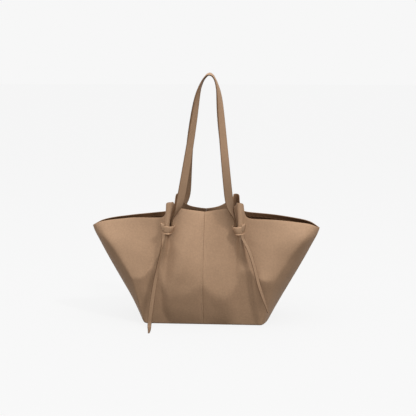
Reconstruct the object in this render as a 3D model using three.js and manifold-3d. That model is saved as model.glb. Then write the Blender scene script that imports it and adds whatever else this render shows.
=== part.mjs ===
// Leather tote bag with winged sides: four half panels pinched into pipe folds under the handles,
// a flat base, a dark lining, two shoulder straps and four knotted ties with hanging tails.
// Millimetres, +Z up, +X to the right and +Y to the back. The origin is the middle of the base's underside.
import * as THREE from "three";
import { mergeVertices } from "three/addons/utils/BufferGeometryUtils.js";
import Module from "manifold-3d";

const wasm = await Module();
wasm.setup();

// Driving dimensions of the body
const BASE_LENGTH = 311;
const BASE_DEPTH = 140;
const BASE_CORNER = 14;
const MOUTH_WIDTH = 550;
const CORNER_HEIGHT = 224.5;
const WING_HEIGHT = 249.5;
const LOBE_HEIGHT = 275;
const BACK_LOBE_HEIGHT = 267;
const RIM_HEIGHT = 265;
const PIPE_HEIGHT = 294;
const BELLY_HEIGHT = 108;
const BELLY_DEPTH = 94;
const WING_DEPTH = 84;
const SIDE_STRIP = 46;
const MOUTH_DEPTH = 27;
const MOUTH_LOBE_DEPTH = 47;
const LOBE_DEPTH = 66;
const LEFT_WING_OPENING = 24;
const RIGHT_WING_OPENING = 42;

// Gathers: where each half panel is pinched, bound by a tie and joined by a strap end
const FRONT_GATHER_X = 86;
const BACK_GATHER_X = 72;
const GATHER_DEPTH = 60;
const PINCH_DEPTH = 23.4;
const PINCH_HALF_WIDTH = 6.5;
const PINCH_ROOT = 8.5;
const LEFT_DRIFT = 34;
const RIGHT_DRIFT = 18;

// Sheet thicknesses and clearances
const LEATHER = 2;
const LINING = 0.8;
const BASE_LEATHER = 2.4;
const BOARD = 2;
const GAP = 0.3;
const LINING_INSET = 6;
const LINING_RELIEF = 14;
const BOARD_MARGIN = 5;

// Ties
const WRAP_LOW = 216;
const WRAP_HIGH = 234;
const WRAP_HALF_WIDTH = 15.4;
const WRAP_TAPER = 1.8;
const WRAP_DEPTH = 38;
const WRAP_BAND = 2.2;
const WRAP_SHIFT = 3;
const TAIL_WIDTH = 10;
const TAIL_TIP = 4;
const TAIL_THICKNESS = 2;

// Handles
const STRAP_WIDTH = 20;
const STRAP_THICKNESS = 3.2;
const STRAP_END_WIDTH = 12;
const STRAP_END_RISE = 2;
const STRAP_END_SETBACK = 10.5;
const STRAP_END_GAP = 1.5;
const HANDLE_HEIGHT = 584;
const HANDLE_SPREAD = 56;
const HANDLE_LEAN = 8;
const BACK_SWAY = 6;
const HANDLE_SEPARATION = 1.5;
const APEX_TILT = 12;

// Magnetic snap in the middle of the mouth
const SNAP_DIAMETER = 18;
const SNAP_THICKNESS = 3;
const SNAP_BOSS_DIAMETER = 9;
const SNAP_BOSS = 1.6;
const SNAP_DROP = 16;
const SNAP_BEVEL = 0.6;
const SNAP_SEAT = 0.9;

const mix = (a, b, t) => a + (b - a) * t;

// Weights of a clamped uniform cubic B-spline with n control points, at t from 0 to 1.
function splineWeights(n, t) {
  const degree = 3;
  const spans = n - degree;
  const knot = (i) => Math.min(Math.max(i - degree, 0), spans);
  const at = Math.min(Math.max(t, 0), 1) * spans;
  const span = Math.min(Math.floor(at), spans - 1) + degree;
  const weights = new Array(n).fill(0);
  weights[span] = 1;
  for (let d = 1; d <= degree; d++) {
    for (let i = span - d; i <= span; i++) {
      const left = knot(i + d) - knot(i);
      const right = knot(i + d + 1) - knot(i + 1);
      const fromLeft = left ? ((at - knot(i)) / left) * weights[i] : 0;
      const fromRight = right && i < n - 1 ? ((knot(i + d + 1) - at) / right) * weights[i + 1] : 0;
      weights[i] = fromLeft + fromRight;
    }
  }
  return weights;
}

// A point of the tensor-product spline surface over a net of control rows.
function surfacePoint(net, u, v) {
  const across = splineWeights(net[0].length, u);
  const up = splineWeights(net.length, v);
  const point = new THREE.Vector3();
  net.forEach((row, i) => row.forEach((c, j) => point.addScaledVector(c, up[i] * across[j])));
  return point;
}

function splinePoint(points, t) {
  return surfacePoint([points, points, points, points], t, 0);
}

function splineDirection(points, t) {
  const e = 1e-3;
  return splinePoint(points, Math.min(t + e, 1)).sub(splinePoint(points, Math.max(t - e, 0)));
}

// Seven levels of a half panel's leather, from the base seam up to the rim. Each has its half width, the
// depth of the side strip, how far the gather is pinched, where the fold or its valley runs, and five
// depths and heights in the order side ridge, wing, gather, lobe and centre seam. Depths are measured forward
// from the bag's middle plane.
function levels(sideX, sideY) {
  const wingOpening = sideX < 0 ? LEFT_WING_OPENING : RIGHT_WING_OPENING;
  const lobeHeight = sideY < 0 ? LOBE_HEIGHT : BACK_LOBE_HEIGHT;
  const gatherX = sideY < 0 ? FRONT_GATHER_X : BACK_GATHER_X;
  const drift = sideX < 0 ? LEFT_DRIFT : RIGHT_DRIFT;
  const base = BASE_DEPTH / 2;
  const full = [WING_DEPTH, 1.07 * WING_DEPTH, 0.94 * WING_DEPTH, 1.04 * BELLY_DEPTH, 0.99 * BELLY_DEPTH];
  const belly = [1, 1.04, 1.3, 0.66, 0.8].map((share) => share * BELLY_HEIGHT);
  const rim = [CORNER_HEIGHT, WING_HEIGHT, PIPE_HEIGHT, lobeHeight, RIM_HEIGHT];
  const swelling = (...shares) => shares.map((share, i) => mix(base, full[i], share));
  const below = (...shares) => shares.map((share, i) => share * belly[i]);
  const above = (...shares) => shares.map((share, i) => mix(belly[i], rim[i], share));
  const level = (growth, strip, pinch, away, depths, heights) => {
    const width = mix(BASE_LENGTH, MOUTH_WIDTH, growth) / 2;
    return { width, strip, pinch, place: gatherX + away * drift, depths, heights };
  };
  const waist = [0.77, 0.87, 0.88, 0.86, 0.89].map((share, i) => share * full[i]);
  const shoulder = [
    mix(wingOpening, WING_DEPTH, 0.45),
    mix(wingOpening, WING_DEPTH, 0.55),
    1.06 * GATHER_DEPTH,
    LOBE_DEPTH,
    0.86 * LOBE_DEPTH,
  ];
  const neck = [
    mix(wingOpening, WING_DEPTH, 0.12),
    mix(wingOpening, WING_DEPTH, 0.2),
    0.98 * GATHER_DEPTH,
    mix(MOUTH_LOBE_DEPTH, LOBE_DEPTH, 0.5),
    mix(MOUTH_DEPTH, LOBE_DEPTH, 0.35),
  ];
  const mouth = [0.62 * wingOpening, wingOpening, 0.92 * GATHER_DEPTH, MOUTH_LOBE_DEPTH, MOUTH_DEPTH];
  const hem = mix(BASE_CORNER, SIDE_STRIP, 0.14);
  return [
    level(0, BASE_CORNER, 0, 0.6, swelling(0, 0, 0, 0, 0), below(0, 0, 0, 0, 0)),
    level(0.12, hem, 0, 1, swelling(0.4, 0.41, 0.55, 0.5, 0.49), below(0.22, 0.31, 0.25, 0.4, 0.36)),
    level(0.5, SIDE_STRIP, 0, 1, full, belly),
    level(0.75, 0.93 * SIDE_STRIP, 0.2, 0.55, waist, above(0.46, 0.37, 0.14, 0.35, 0.32)),
    level(0.9, 0.69 * SIDE_STRIP, 0.85, 0.1, shoulder, above(0.77, 0.65, 0.44, 0.65, 0.66)),
    level(0.96, 0.59 * SIDE_STRIP, 1, 0, neck, above(0.87, 0.83, 0.72, 0.84, 0.88)),
    level(1, 0.59 * SIDE_STRIP, 1, 0, mouth, rim),
  ];
}

// One row of control points across a half panel, from the side seam to the centre seam.
// fold is how far the pinched leather stands forward of its roots; below zero it hangs back, as in the
// lining. flare widens or narrows the fold, crest is the place of the lobe's swelling between the centre seam
// and the fold, and rise is how far from the fold its rim comes down.
function controlRow({ width, strip, pinch, place, depths, heights }, fold, flare, { crest, rise }) {
  const [ridge, wing, gather, lobe, seam] = depths;
  const [zSide, zWing, zGather, zLobe, zSeam] = heights;
  const edge = GAP / 2;
  const half = PINCH_HALF_WIDTH * flare;
  const foot = PINCH_ROOT * flare;
  const spread = (loose, tight) => place + mix(loose * tight, tight, pinch);
  const root = gather + Math.min(fold, 0) * pinch;
  const side = root + 0.4 * Math.max(fold, 0) * pinch;
  const front = root + Math.max(fold, 0) * pinch;
  const ridgeX = width - strip;
  const rootX = spread(2, foot);
  const innerX = spread(3.5, -foot);
  const zRoot = mix(zWing, zGather, 0.3);
  return [
    [width, edge, zSide],
    [width - 0.3 * strip, 0.5 * ridge, mix(zSide, zWing, 0.2)],
    [ridgeX, ridge, mix(zSide, zWing, 0.6)],
    [mix(ridgeX, rootX, 0.5), wing, zWing],
    [mix(ridgeX, rootX, 0.85), mix(wing, gather, 0.7), mix(zWing, zRoot, 0.6)],
    [rootX, root, zRoot],
    [spread(1.7, half), side, mix(zGather, zRoot, 0.2 * pinch)],
    [spread(0.8, half), front, zGather],
    [spread(1.1, -half), front, zGather],
    [spread(2.8, -half), side, zGather],
    [innerX, root, mix(zGather, zLobe, 0.6)],
    [mix(crest, 1, 0.5) * innerX, mix(gather, lobe, 0.85), mix(zGather, zLobe, rise)],
    [crest * innerX, lobe, zLobe],
    [0.33 * crest * innerX, mix(lobe, seam, 0.9), mix(zLobe, zSeam, 0.8)],
    [edge, seam, zSeam],
  ];
}
const lobeOf = (sideX, sideY) => ({ crest: sideX < 0 ? 0.8 : 0.55, rise: sideY < 0 ? 0.95 : 0.6 });

// sideX is -1 for a left half, 1 for a right half; sideY is -1 for the front, 1 for the back.
// Two more control lines beside the knee and the side ridge bend the leather more tightly there.
function panelNet(sideX, sideY) {
  const flares = sideY < 0 ? [1, 1, 1, 1, 0.75, 0.85, 1.3] : [1, 1, 1, 1, 0.8, 0.9, 1.2];
  const rows = levels(sideX, sideY).map((level, i) =>
    controlRow(level, PINCH_DEPTH, flares[i], lobeOf(sideX, sideY)).map(
      ([x, y, z]) => new THREE.Vector3(sideX * x, sideY * y, z),
    ),
  );
  const beside = (near, far, share) => near.map((p, j) => p.clone().lerp(far[j], share));
  const knee = [beside(rows[2], rows[1], 0.3), rows[2], beside(rows[2], rows[3], 0.3)];
  const net = [...rows.slice(0, 2), ...knee, ...rows.slice(3)];
  const shares = [0.6, 0.4, 0.3, 0.3, 0.3, 0.35, 0.5, 0.65, 0.75];
  return net.map((row, i) => {
    const [before, after] = [row[1], row[3]].map((p) => row[2].clone().lerp(p, shares[i]));
    return [row[0], row[1], before, row[2], after, ...row.slice(3)];
  });
}

// Unit direction from the outer face of a half panel towards the inside of the bag.
function inward(net, u, v) {
  const e = 1e-3;
  const across = surfacePoint(net, Math.min(u + e, 1), v).sub(surfacePoint(net, Math.max(u - e, 0), v));
  const up = surfacePoint(net, u, Math.min(v + e, 1)).sub(surfacePoint(net, u, Math.max(v - e, 0)));
  const normal = across.cross(up).normalize();
  const middle = surfacePoint(net, 0.75, 0.5);
  const beside = surfacePoint(net, 0.75 + e, 0.5).sub(middle);
  const reference = beside.cross(surfacePoint(net, 0.75, 0.5 + e).sub(middle));
  if (reference.y * middle.y > 0) normal.negate();
  if (u === 0) normal.y = 0;
  if (u === 1) normal.x = 0;
  if (v === 0) normal.z = 0;
  return normal.normalize();
}

// Closed solid between two grids of points of the same size.
function solidBetween(outer, inner) {
  const rows = outer.length;
  const columns = outer[0].length;
  const positions = [...outer.flat(), ...inner.flat()].flatMap((p) => [p.x, p.y, p.z]);
  const index = [];
  const quad = (a, b, c, d) => index.push(a, b, c, a, c, d);
  const at = (i, j) => i * columns + j;
  const under = (i, j) => rows * columns + at(i, j);
  for (let i = 0; i < rows - 1; i++) {
    for (let j = 0; j < columns - 1; j++) {
      quad(at(i, j), at(i, j + 1), at(i + 1, j + 1), at(i + 1, j));
      quad(under(i, j), under(i + 1, j), under(i + 1, j + 1), under(i, j + 1));
    }
    quad(at(i + 1, 0), under(i + 1, 0), under(i, 0), at(i, 0));
    quad(at(i, columns - 1), under(i, columns - 1), under(i + 1, columns - 1), at(i + 1, columns - 1));
  }
  for (let j = 0; j < columns - 1; j++) {
    quad(at(0, j), under(0, j), under(0, j + 1), at(0, j + 1));
    quad(at(rows - 1, j + 1), under(rows - 1, j + 1), under(rows - 1, j), at(rows - 1, j));
  }
  return facingOut(positions, index);
}

// Geometry of a closed surface, turned over if its faces point inwards.
function facingOut(positions, index) {
  const geometry = new THREE.BufferGeometry();
  geometry.setAttribute("position", new THREE.Float32BufferAttribute(positions, 3));
  let volume = 0;
  const corner = (k) => new THREE.Vector3().fromArray(positions, index[k] * 3);
  for (let k = 0; k < index.length; k += 3) volume += corner(k).dot(corner(k + 1).cross(corner(k + 2)));
  if (volume < 0) index.reverse();
  geometry.setIndex(index);
  return geometry;
}

function grid(columns, rows, pointAt) {
  return Array.from({ length: rows + 1 }, (_, i) =>
    Array.from({ length: columns + 1 }, (_, j) => pointAt(j / columns, i / rows)),
  );
}

function manifoldOf(geometry) {
  const plain = new THREE.BufferGeometry().setAttribute("position", geometry.getAttribute("position").clone());
  if (geometry.index) plain.setIndex(geometry.index);
  const merged = mergeVertices(plain, 1e-4);
  return new wasm.Manifold(
    new wasm.Mesh({
      numProp: 3,
      vertProperties: new Float32Array(merged.getAttribute("position").array),
      triVerts: new Uint32Array(merged.index.array),
    }),
  );
}

function geometryOf(solid) {
  const mesh = solid.getMesh();
  const geometry = new THREE.BufferGeometry();
  geometry.setAttribute("position", new THREE.BufferAttribute(new Float32Array(mesh.vertProperties), 3));
  geometry.setIndex(new THREE.BufferAttribute(new Uint32Array(mesh.triVerts), 1));
  return geometry;
}

// Materials
const leather = new THREE.MeshStandardMaterial({ color: 0xa78769, roughness: 0.55, metalness: 0 });
const liningCloth = new THREE.MeshStandardMaterial({ color: 0x3a2a1f, roughness: 0.9, metalness: 0 });
const boardFibre = new THREE.MeshStandardMaterial({ color: 0x4a4038, roughness: 0.95, metalness: 0 });
const snapMetal = new THREE.MeshStandardMaterial({ color: 0xb9a77a, roughness: 0.3, metalness: 1 });

const bag = new THREE.Group();
function place(name, geometry, material) {
  const mesh = new THREE.Mesh(geometry, material);
  mesh.name = name;
  bag.add(mesh);
  return mesh;
}

const HALVES = [
  { name: "front_left", sideX: -1, sideY: -1 },
  { name: "front_right", sideX: 1, sideY: -1 },
  { name: "back_left", sideX: -1, sideY: 1 },
  { name: "back_right", sideX: 1, sideY: 1 },
];
const PANEL_COLUMNS = 32;
const PANEL_ROWS = 12;
const LINING_COLUMNS = 16;
const LINING_ROWS = 8;

// Depth of the front of a half panel's pipe fold at the height of its wrap.
function pipeFront(net) {
  let front = 0;
  for (const p of grid(60, 60, (u, v) => surfacePoint(net, u, v)).flat()) {
    if (p.z > WRAP_LOW && p.z < WRAP_HIGH) front = Math.max(front, Math.abs(p.y));
  }
  return front;
}

// The band of a tie round a gather, wider at the top; grown by a clearance it is the cutter for the slits.
function wrapBand(half, front, grown) {
  const gatherX = half.sideY < 0 ? FRONT_GATHER_X : BACK_GATHER_X;
  const steps = 28;
  const centreY = front + GAP + WRAP_BAND - WRAP_DEPTH / 2;
  const profile = [
    [grown, WRAP_LOW - grown, WRAP_TAPER],
    [grown, WRAP_HIGH + grown, 0],
    [-WRAP_BAND - grown, WRAP_HIGH + grown, 0],
    [-WRAP_BAND - grown, WRAP_LOW - grown, WRAP_TAPER],
  ];
  const positions = [];
  const index = [];
  for (let k = 0; k < steps; k++) {
    const angle = (k / steps) * 2 * Math.PI;
    const rounded = (value) => Math.sign(value) * Math.abs(value) ** 0.6;
    for (const [offset, z, taper] of profile) {
      const x = gatherX - WRAP_SHIFT + (WRAP_HALF_WIDTH - taper + offset) * rounded(Math.cos(angle));
      const y = centreY + (WRAP_DEPTH / 2 + offset) * rounded(Math.sin(angle));
      positions.push(half.sideX * x, half.sideY * y, z);
    }
    for (let m = 0; m < profile.length; m++) {
      const a = k * profile.length + m;
      const b = k * profile.length + ((m + 1) % profile.length);
      const turn = profile.length * steps;
      const c = (b + profile.length) % turn;
      const d = (a + profile.length) % turn;
      index.push(a, b, c, a, c, d);
    }
  }
  return facingOut(positions, index);
}

// A strip of leather with a rectangular section, from sections with a centre, a width direction and a width.
function strip(sections, thickness) {
  const face = (side) =>
    sections.map(({ centre, across, along, width }) => {
      const normal = new THREE.Vector3().crossVectors(along, across).normalize();
      return [-0.5, 0.5].map((end) =>
        centre.clone().addScaledVector(normal, side * thickness / 2).addScaledVector(across, end * width),
      );
    });
  return solidBetween(face(1), face(-1));
}

// Half panels, slit where the ties pass through to the inside
const wrapFronts = {};
for (const half of HALVES) {
  const net = panelNet(half.sideX, half.sideY);
  const outer = grid(PANEL_COLUMNS, PANEL_ROWS, (u, v) => surfacePoint(net, u, v));
  const inner = grid(PANEL_COLUMNS, PANEL_ROWS, (u, v) =>
    surfacePoint(net, u, v).addScaledVector(inward(net, u, v), LEATHER),
  );
  const front = pipeFront(net);
  wrapFronts[half.name] = front;
  const cutter = manifoldOf(wrapBand(half, front, GAP));
  place(half.name + "_panel", geometryOf(manifoldOf(solidBetween(outer, inner)).subtract(cutter)), leather);
  place(half.name + "_tie_wrap", wrapBand(half, front, 0), leather);
}

// Flat pieces of the bottom, cut to the footprint of the panels
function footprint(netFor, columns, inset) {
  const run = (sideX, sideY, reverse) => {
    const net = netFor(sideX, sideY);
    const points = Array.from({ length: columns + 1 }, (_, j) => {
      const u = j / columns;
      return surfacePoint(net, u, 0).addScaledVector(inward(net, u, 0), inset);
    });
    if (reverse) points.reverse();
    return points.slice(0, -1);
  };
  const loop = [...run(-1, -1, false), ...run(1, -1, true), ...run(1, 1, false), ...run(-1, 1, true)];
  return new THREE.Shape(loop.map((p) => new THREE.Vector2(p.x, p.y)));
}
function plate(shape, z, thickness) {
  return new THREE.ExtrudeGeometry(shape, { depth: thickness, bevelEnabled: false }).translate(0, 0, z);
}
const boardZ = BASE_LEATHER + GAP;
const liningZ = boardZ + BOARD + GAP;
place("base_panel", plate(footprint(panelNet, PANEL_COLUMNS, LEATHER + GAP), 0, BASE_LEATHER), leather);
const boardShape = footprint(panelNet, LINING_COLUMNS, LEATHER + BOARD_MARGIN);
place("base_board", plate(boardShape, boardZ, BOARD), boardFibre);

// Lining: the panels' shape without the pinch, hanging a little inside them
function liningNet(sideX, sideY) {
  const rows = levels(sideX, sideY);
  return rows.map((level, i) => {
    const rim = i === rows.length - 1 ? LINING_INSET : 0;
    const lift = i === 0 ? liningZ : -rim;
    const [zSide, zWing, zGather, zLobe, zSeam] = level.heights;
    const heights = [zSide, zWing, mix(zGather, zLobe, level.pinch), zLobe, zSeam];
    const row = controlRow({ ...level, heights }, -LINING_RELIEF, 1, lobeOf(sideX, sideY));
    return row.map(([x, y, z], j) => {
      const inX = j === row.length - 1 ? 0 : x - (LINING_INSET + rim) * Math.min(1, x / level.place);
      const inY = j === 0 ? GAP / 2 : y - LINING_INSET;
      return new THREE.Vector3(sideX * inX, sideY * inY, z + lift);
    });
  });
}
for (const [name, sideY] of [["front_lining", -1], ["back_lining", 1]]) {
  const left = liningNet(-1, sideY);
  const right = liningNet(1, sideY);
  const layer = (depth) => {
    const half = (net) =>
      grid(LINING_COLUMNS, LINING_ROWS, (u, v) =>
        surfacePoint(net, u, v).addScaledVector(inward(net, u, v), depth),
      );
    const others = half(right);
    return half(left).map((row, i) => [...row, ...others[i].reverse().slice(1)]);
  };
  place(name, solidBetween(layer(0), layer(LINING)), liningCloth);
}
place("base_lining", plate(footprint(liningNet, LINING_COLUMNS, LINING + GAP), liningZ, LINING), liningCloth);

// Magnetic snap: two turned halves on the lining, facing each other across the mouth
for (const [name, sideY, boss] of [["snap_socket", -1, -SNAP_BOSS], ["snap_stud", 1, SNAP_BOSS]]) {
  const net = liningNet(1, sideY);
  let v = 1;
  while (surfacePoint(net, 1, v).z > RIM_HEIGHT - SNAP_DROP) v -= 0.005;
  const facing = inward(net, 1, v);
  const middle = surfacePoint(net, 1, v);
  const r = SNAP_DIAMETER / 2;
  const rb = SNAP_BOSS_DIAMETER / 2;
  const cloth = grid(60, 60, (a, b) => surfacePoint(net, a, b).addScaledVector(inward(net, a, b), LINING));
  const reach = cloth.flat().map((p) => p.sub(middle));
  const under = reach.filter((p) => p.clone().cross(facing).length() < r);
  const seat = middle.addScaledVector(facing, SNAP_SEAT + Math.max(...under.map((p) => p.dot(facing))));
  const face = SNAP_THICKNESS;
  const outline = [
    [0, 0],
    [r - SNAP_BEVEL, 0],
    [r, SNAP_BEVEL],
    [r, face - SNAP_BEVEL],
    [r - SNAP_BEVEL, face],
    [rb, face],
    [rb, face + boss],
    [0, face + boss],
  ];
  const turned = new THREE.LatheGeometry(outline.map(([x, y]) => new THREE.Vector2(x, y)), 28);
  const turn = new THREE.Quaternion().setFromUnitVectors(new THREE.Vector3(0, 1, 0), facing);
  turned.applyQuaternion(turn).translate(seat.x, seat.y, seat.z);
  place(name, turned, snapMetal);
}

// Handles. Each leg is listed from its end upwards: distance out from the middle, depth, height, twist.
const endZ = WRAP_HIGH + STRAP_END_RISE;
const hingeZ = endZ + GAP + STRAP_END_WIDTH / 2;
function handleLeg(gatherX, front) {
  const endX = gatherX - PINCH_ROOT - STRAP_END_GAP - STRAP_THICKNESS / 2;
  const endY = front - STRAP_END_SETBACK;
  const apexY = STRAP_WIDTH / 2 + HANDLE_SEPARATION;
  const rim = HANDLE_SPREAD + 0.3 * (gatherX - FRONT_GATHER_X);
  const at = (share) => mix(hingeZ, HANDLE_HEIGHT, share);
  const widening = mix(STRAP_END_WIDTH, STRAP_WIDTH, 0.7);
  return [
    { x: endX, y: endY, z: hingeZ, twist: 0, width: STRAP_END_WIDTH },
    { x: endX, y: endY, z: at(0.03), twist: 0, width: STRAP_END_WIDTH },
    { x: mix(rim, endX, 0.55), y: endY, z: at(0.08), twist: 25, width: widening },
    { x: mix(rim, endX, 0.25), y: mix(apexY, endY, 1.11), z: at(0.13), twist: 55, width: STRAP_WIDTH },
    { x: rim, y: mix(apexY, endY, 1.07), z: at(0.2), twist: 70, width: STRAP_WIDTH },
    { x: 0.79 * HANDLE_SPREAD, y: mix(apexY, endY, 0.8), z: at(0.45), twist: 66, width: STRAP_WIDTH },
    { x: 0.57 * HANDLE_SPREAD, y: mix(apexY, endY, 0.42), z: at(0.72), twist: 50, width: STRAP_WIDTH },
    { x: 0.48 * HANDLE_SPREAD, y: mix(apexY, endY, 0.14), z: at(0.88), twist: 25, width: STRAP_WIDTH },
    { x: 0.32 * HANDLE_SPREAD, y: apexY, z: at(0.98), twist: 0, width: STRAP_WIDTH },
    { x: 0.12 * HANDLE_SPREAD, y: apexY, z: at(1.018), twist: 0, width: STRAP_WIDTH },
  ];
}
function handleSections(gatherX, front, sideY) {
  const leg = handleLeg(gatherX, front);
  const sway = sideY < 0 ? 0 : BACK_SWAY;
  const lean = (z) => {
    const share = (z - hingeZ) / (HANDLE_HEIGHT - hingeZ);
    return HANDLE_LEAN * share - 4 * sway * Math.max(share * (1 - share), 0);
  };
  const control = [
    ...leg.map((s) => ({ ...s, x: -s.x })),
    ...leg.toReversed().map((s) => ({ ...s, twist: -s.twist })),
  ];
  const centres = control.map((s) => new THREE.Vector3(s.x + lean(s.z), sideY * s.y, s.z));
  const turns = control.map((s) => new THREE.Vector3(s.twist, s.width, 0));
  const steps = 56;
  const run = Array.from({ length: steps + 1 }, (_, i) => {
    const t = i / steps;
    const centre = splinePoint(centres, t);
    const { x: twist, y: width } = splinePoint(turns, t);
    const along = splineDirection(centres, t);
    const angle = THREE.MathUtils.degToRad(twist);
    const tilt = THREE.MathUtils.degToRad(APEX_TILT) * Math.cos(angle) * (1 - Math.abs(2 * t - 1)) ** 4;
    const forward = sideY * Math.cos(angle) * Math.cos(tilt);
    const across = new THREE.Vector3(Math.sin(angle), forward, -Math.sin(tilt));
    return { centre, across, along, width };
  });
  const lug = (section) =>
    [0.01, 0.12, 0.4, 0.7].map((share) => ({
      ...section,
      along: section.along,
      width: STRAP_END_WIDTH * Math.sqrt(1 - (1 - share) ** 2),
      centre: section.centre.clone().setZ(hingeZ - (1 - share) * STRAP_END_WIDTH / 2),
    }));
  return [...lug(run[0]), ...run, ...lug(run[steps]).reverse()];
}
for (const [name, sideY, gatherX] of [["front", -1, FRONT_GATHER_X], ["back", 1, BACK_GATHER_X]]) {
  const front = wrapFronts[name + "_left"];
  place(name + "_handle", strip(handleSections(gatherX, front, sideY), STRAP_THICKNESS), leather);
  for (const [side, sideX] of [["left", -1], ["right", 1]]) {
    const { x, y, width } = handleLeg(gatherX, front)[0];
    const height = endZ - WRAP_LOW - STRAP_END_RISE;
    const end = new THREE.BoxGeometry(STRAP_THICKNESS, width, height);
    place(name + "_" + side + "_strap_end", end.translate(sideX * x, sideY * y, endZ - height / 2), leather);
  }
}

// Tie tails. Each hangs from a swinging end under the wrap, which turns clear of the pipe and the wrap.
// Listed from the top: distance out from the gather, distance in front of the pipe, share of the height, turn
// of the width, share of the width from the tip's to the full one.
const tailSeat = TAIL_THICKNESS * Math.SQRT1_2 + GAP;
const tailTop = WRAP_LOW + TAIL_THICKNESS / 2 - tailSeat;
const tailFloor = TAIL_THICKNESS / 2 + GAP;
const LONG_TAIL = [
  [6, tailSeat, 1, 0, 0.7],
  [6, tailSeat, 0.957, 0, 0.7],
  [8.5, 5, 0.882, 80, 1],
  [14, 9, 0.77, 70, 1],
  [21, 12, 0.61, 50, 1],
  [27, 16, 0.452, 25, 1],
  [32, 18, 0.293, 5, 1.15],
  [36, 19, 0.162, 0, 1.15],
  [38.5, 20, 0.059, 0, 1],
  [39, 24, 0, 0, 0.85],
  [37, 38, 0, 0, 0.7],
  [35, 55, 0, 0, 0.4],
  [34, 72, 0, 0, 0],
];
const SHORT_TAIL = [
  [6, tailSeat, 1, 0, 0.7],
  [6, tailSeat, 0.965, 0, 0.7],
  [14, 5, 0.91, 50, 1],
  [25, 8, 0.807, 60, 1],
  [34, 11, 0.676, 50, 1],
  [42, 14, 0.527, 45, 1],
  [48, 15, 0.428, 45, 0.9],
  [59, 14, 0.29, 40, 0.6],
  [69, 11, 0.16, 35, 0],
];
for (const half of HALVES) {
  const gatherX = half.sideY < 0 ? FRONT_GATHER_X : BACK_GATHER_X;
  const list = half.sideX === half.sideY ? LONG_TAIL : SHORT_TAIL;
  const front = wrapFronts[half.name];
  const centres = list.map(([x, y, share]) => {
    const z = mix(tailFloor, tailTop, share);
    return new THREE.Vector3(half.sideX * (gatherX + x), half.sideY * (front + y), z);
  });
  const turns = list.map(([, , , turn, share]) => {
    const width = mix(TAIL_TIP, TAIL_WIDTH, share);
    return new THREE.Vector3(turn, width, 0);
  });
  const steps = 22;
  const sections = Array.from({ length: steps + 1 }, (_, i) => {
    const t = i / steps;
    const centre = splinePoint(centres, t);
    const { x: turn, y: width } = splinePoint(turns, t);
    const angle = THREE.MathUtils.degToRad(turn);
    const along = splineDirection(centres, t);
    const level = new THREE.Vector3(half.sideX * Math.cos(angle), half.sideY * Math.sin(angle), 0);
    const across = level.addScaledVector(along, -level.dot(along) / along.lengthSq()).normalize();
    return { centre, across, along, width };
  });
  place(half.name + "_tie_tail", strip(sections, TAIL_THICKNESS), leather);
}

export default bag;
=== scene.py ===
"""Soft leather tote bag with pinched pipe folds, knotted ties and two straps, on a pale stage."""

import math
from types import SimpleNamespace

import bmesh
import bpy
import numpy as np
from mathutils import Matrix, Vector


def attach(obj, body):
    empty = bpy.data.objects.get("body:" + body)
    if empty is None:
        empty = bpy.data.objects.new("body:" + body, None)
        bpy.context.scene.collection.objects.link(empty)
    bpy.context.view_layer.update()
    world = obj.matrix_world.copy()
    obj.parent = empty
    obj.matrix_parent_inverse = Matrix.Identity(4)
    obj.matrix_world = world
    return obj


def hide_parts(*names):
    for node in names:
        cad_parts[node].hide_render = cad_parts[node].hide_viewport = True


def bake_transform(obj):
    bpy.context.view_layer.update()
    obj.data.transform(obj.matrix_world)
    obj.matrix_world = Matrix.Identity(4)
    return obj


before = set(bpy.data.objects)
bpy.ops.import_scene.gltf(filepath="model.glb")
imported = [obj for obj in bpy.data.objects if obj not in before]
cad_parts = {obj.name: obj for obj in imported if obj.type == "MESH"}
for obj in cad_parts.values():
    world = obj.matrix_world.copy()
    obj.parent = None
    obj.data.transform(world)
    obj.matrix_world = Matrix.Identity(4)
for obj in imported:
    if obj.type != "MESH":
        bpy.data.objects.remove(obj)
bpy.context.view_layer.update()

bl_info = {
    "name": "Pinched Tote Bag",
    "version": (1, 0, 0),
    "blender": (4, 5, 0),
    "location": "3D View > Sidebar > Tote",
    "description": "Builds a soft tote bag with pipe folds, tied knots and straps, and its stage",
    "category": "Object",
}

MM = 0.001
SIDES = [(-1, -1), (1, -1), (-1, 1), (1, 1)]
FRONT_BACK = [(-1, "front"), (1, "back")]
TAIL_STEPS = 120
STRAP_STEPS = 260
FOOT_STEPS = 8
KNOT_STEPS = 96
# Heights in millimetres of the rays under a knot and of the knot they fan out from.
RAYS_TOP = 216
KNOT_MIDDLE = 230
# Where the leather is lightened by wear and painted highlight, in millimetres: along the rim, and beside a
# fold above a height.
RIM_WEAR_AND_HIGHLIGHT = 3
FOLD_WEAR_AND_HIGHLIGHT = 11
FOLD_WEAR_AND_HIGHLIGHT_FROM, FOLD_WEAR_AND_HIGHLIGHT_FULL = 225, 245
# Where its flesh side is lightened with painted light, in the middle of the mouth: sideways and down from the
# rim.
MOUTH_PAINTED_LIGHT = 60
MOUTH_PAINTED_LIGHT_DOWN = 45
# Half width of the floor, in metres.
FLOOR_REACH = 20
CREASE = math.radians(50)
PLATE_CREASE = math.radians(30)


def length(name, description, millimetres):
    """A length property, given in millimetres."""
    return bpy.props.FloatProperty(
        name=name, description=description, default=millimetres * MM, unit="LENGTH", subtype="DISTANCE"
    )


def angle(name, description, degrees):
    """An angle property, given in degrees."""
    return bpy.props.FloatProperty(
        name=name, description=description, default=math.radians(degrees), unit="ROTATION", subtype="ANGLE"
    )


def factor(name, description, default):
    """A plain number property."""
    return bpy.props.FloatProperty(name=name, description=description, default=default)


def spot(name, description, millimetres):
    """A point property, given in millimetres."""
    return bpy.props.FloatVectorProperty(
        name=name, description=description, default=[c * MM for c in millimetres], subtype="XYZ"
    )


def linear(hexadecimal):
    """Linear colour of an sRGB hex code."""
    parts = [int(hexadecimal[i : i + 2], 16) / 255 for i in (1, 3, 5)]
    return tuple(c / 12.92 if c <= 0.04045 else ((c + 0.055) / 1.055) ** 2.4 for c in parts) + (1.0,)


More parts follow.
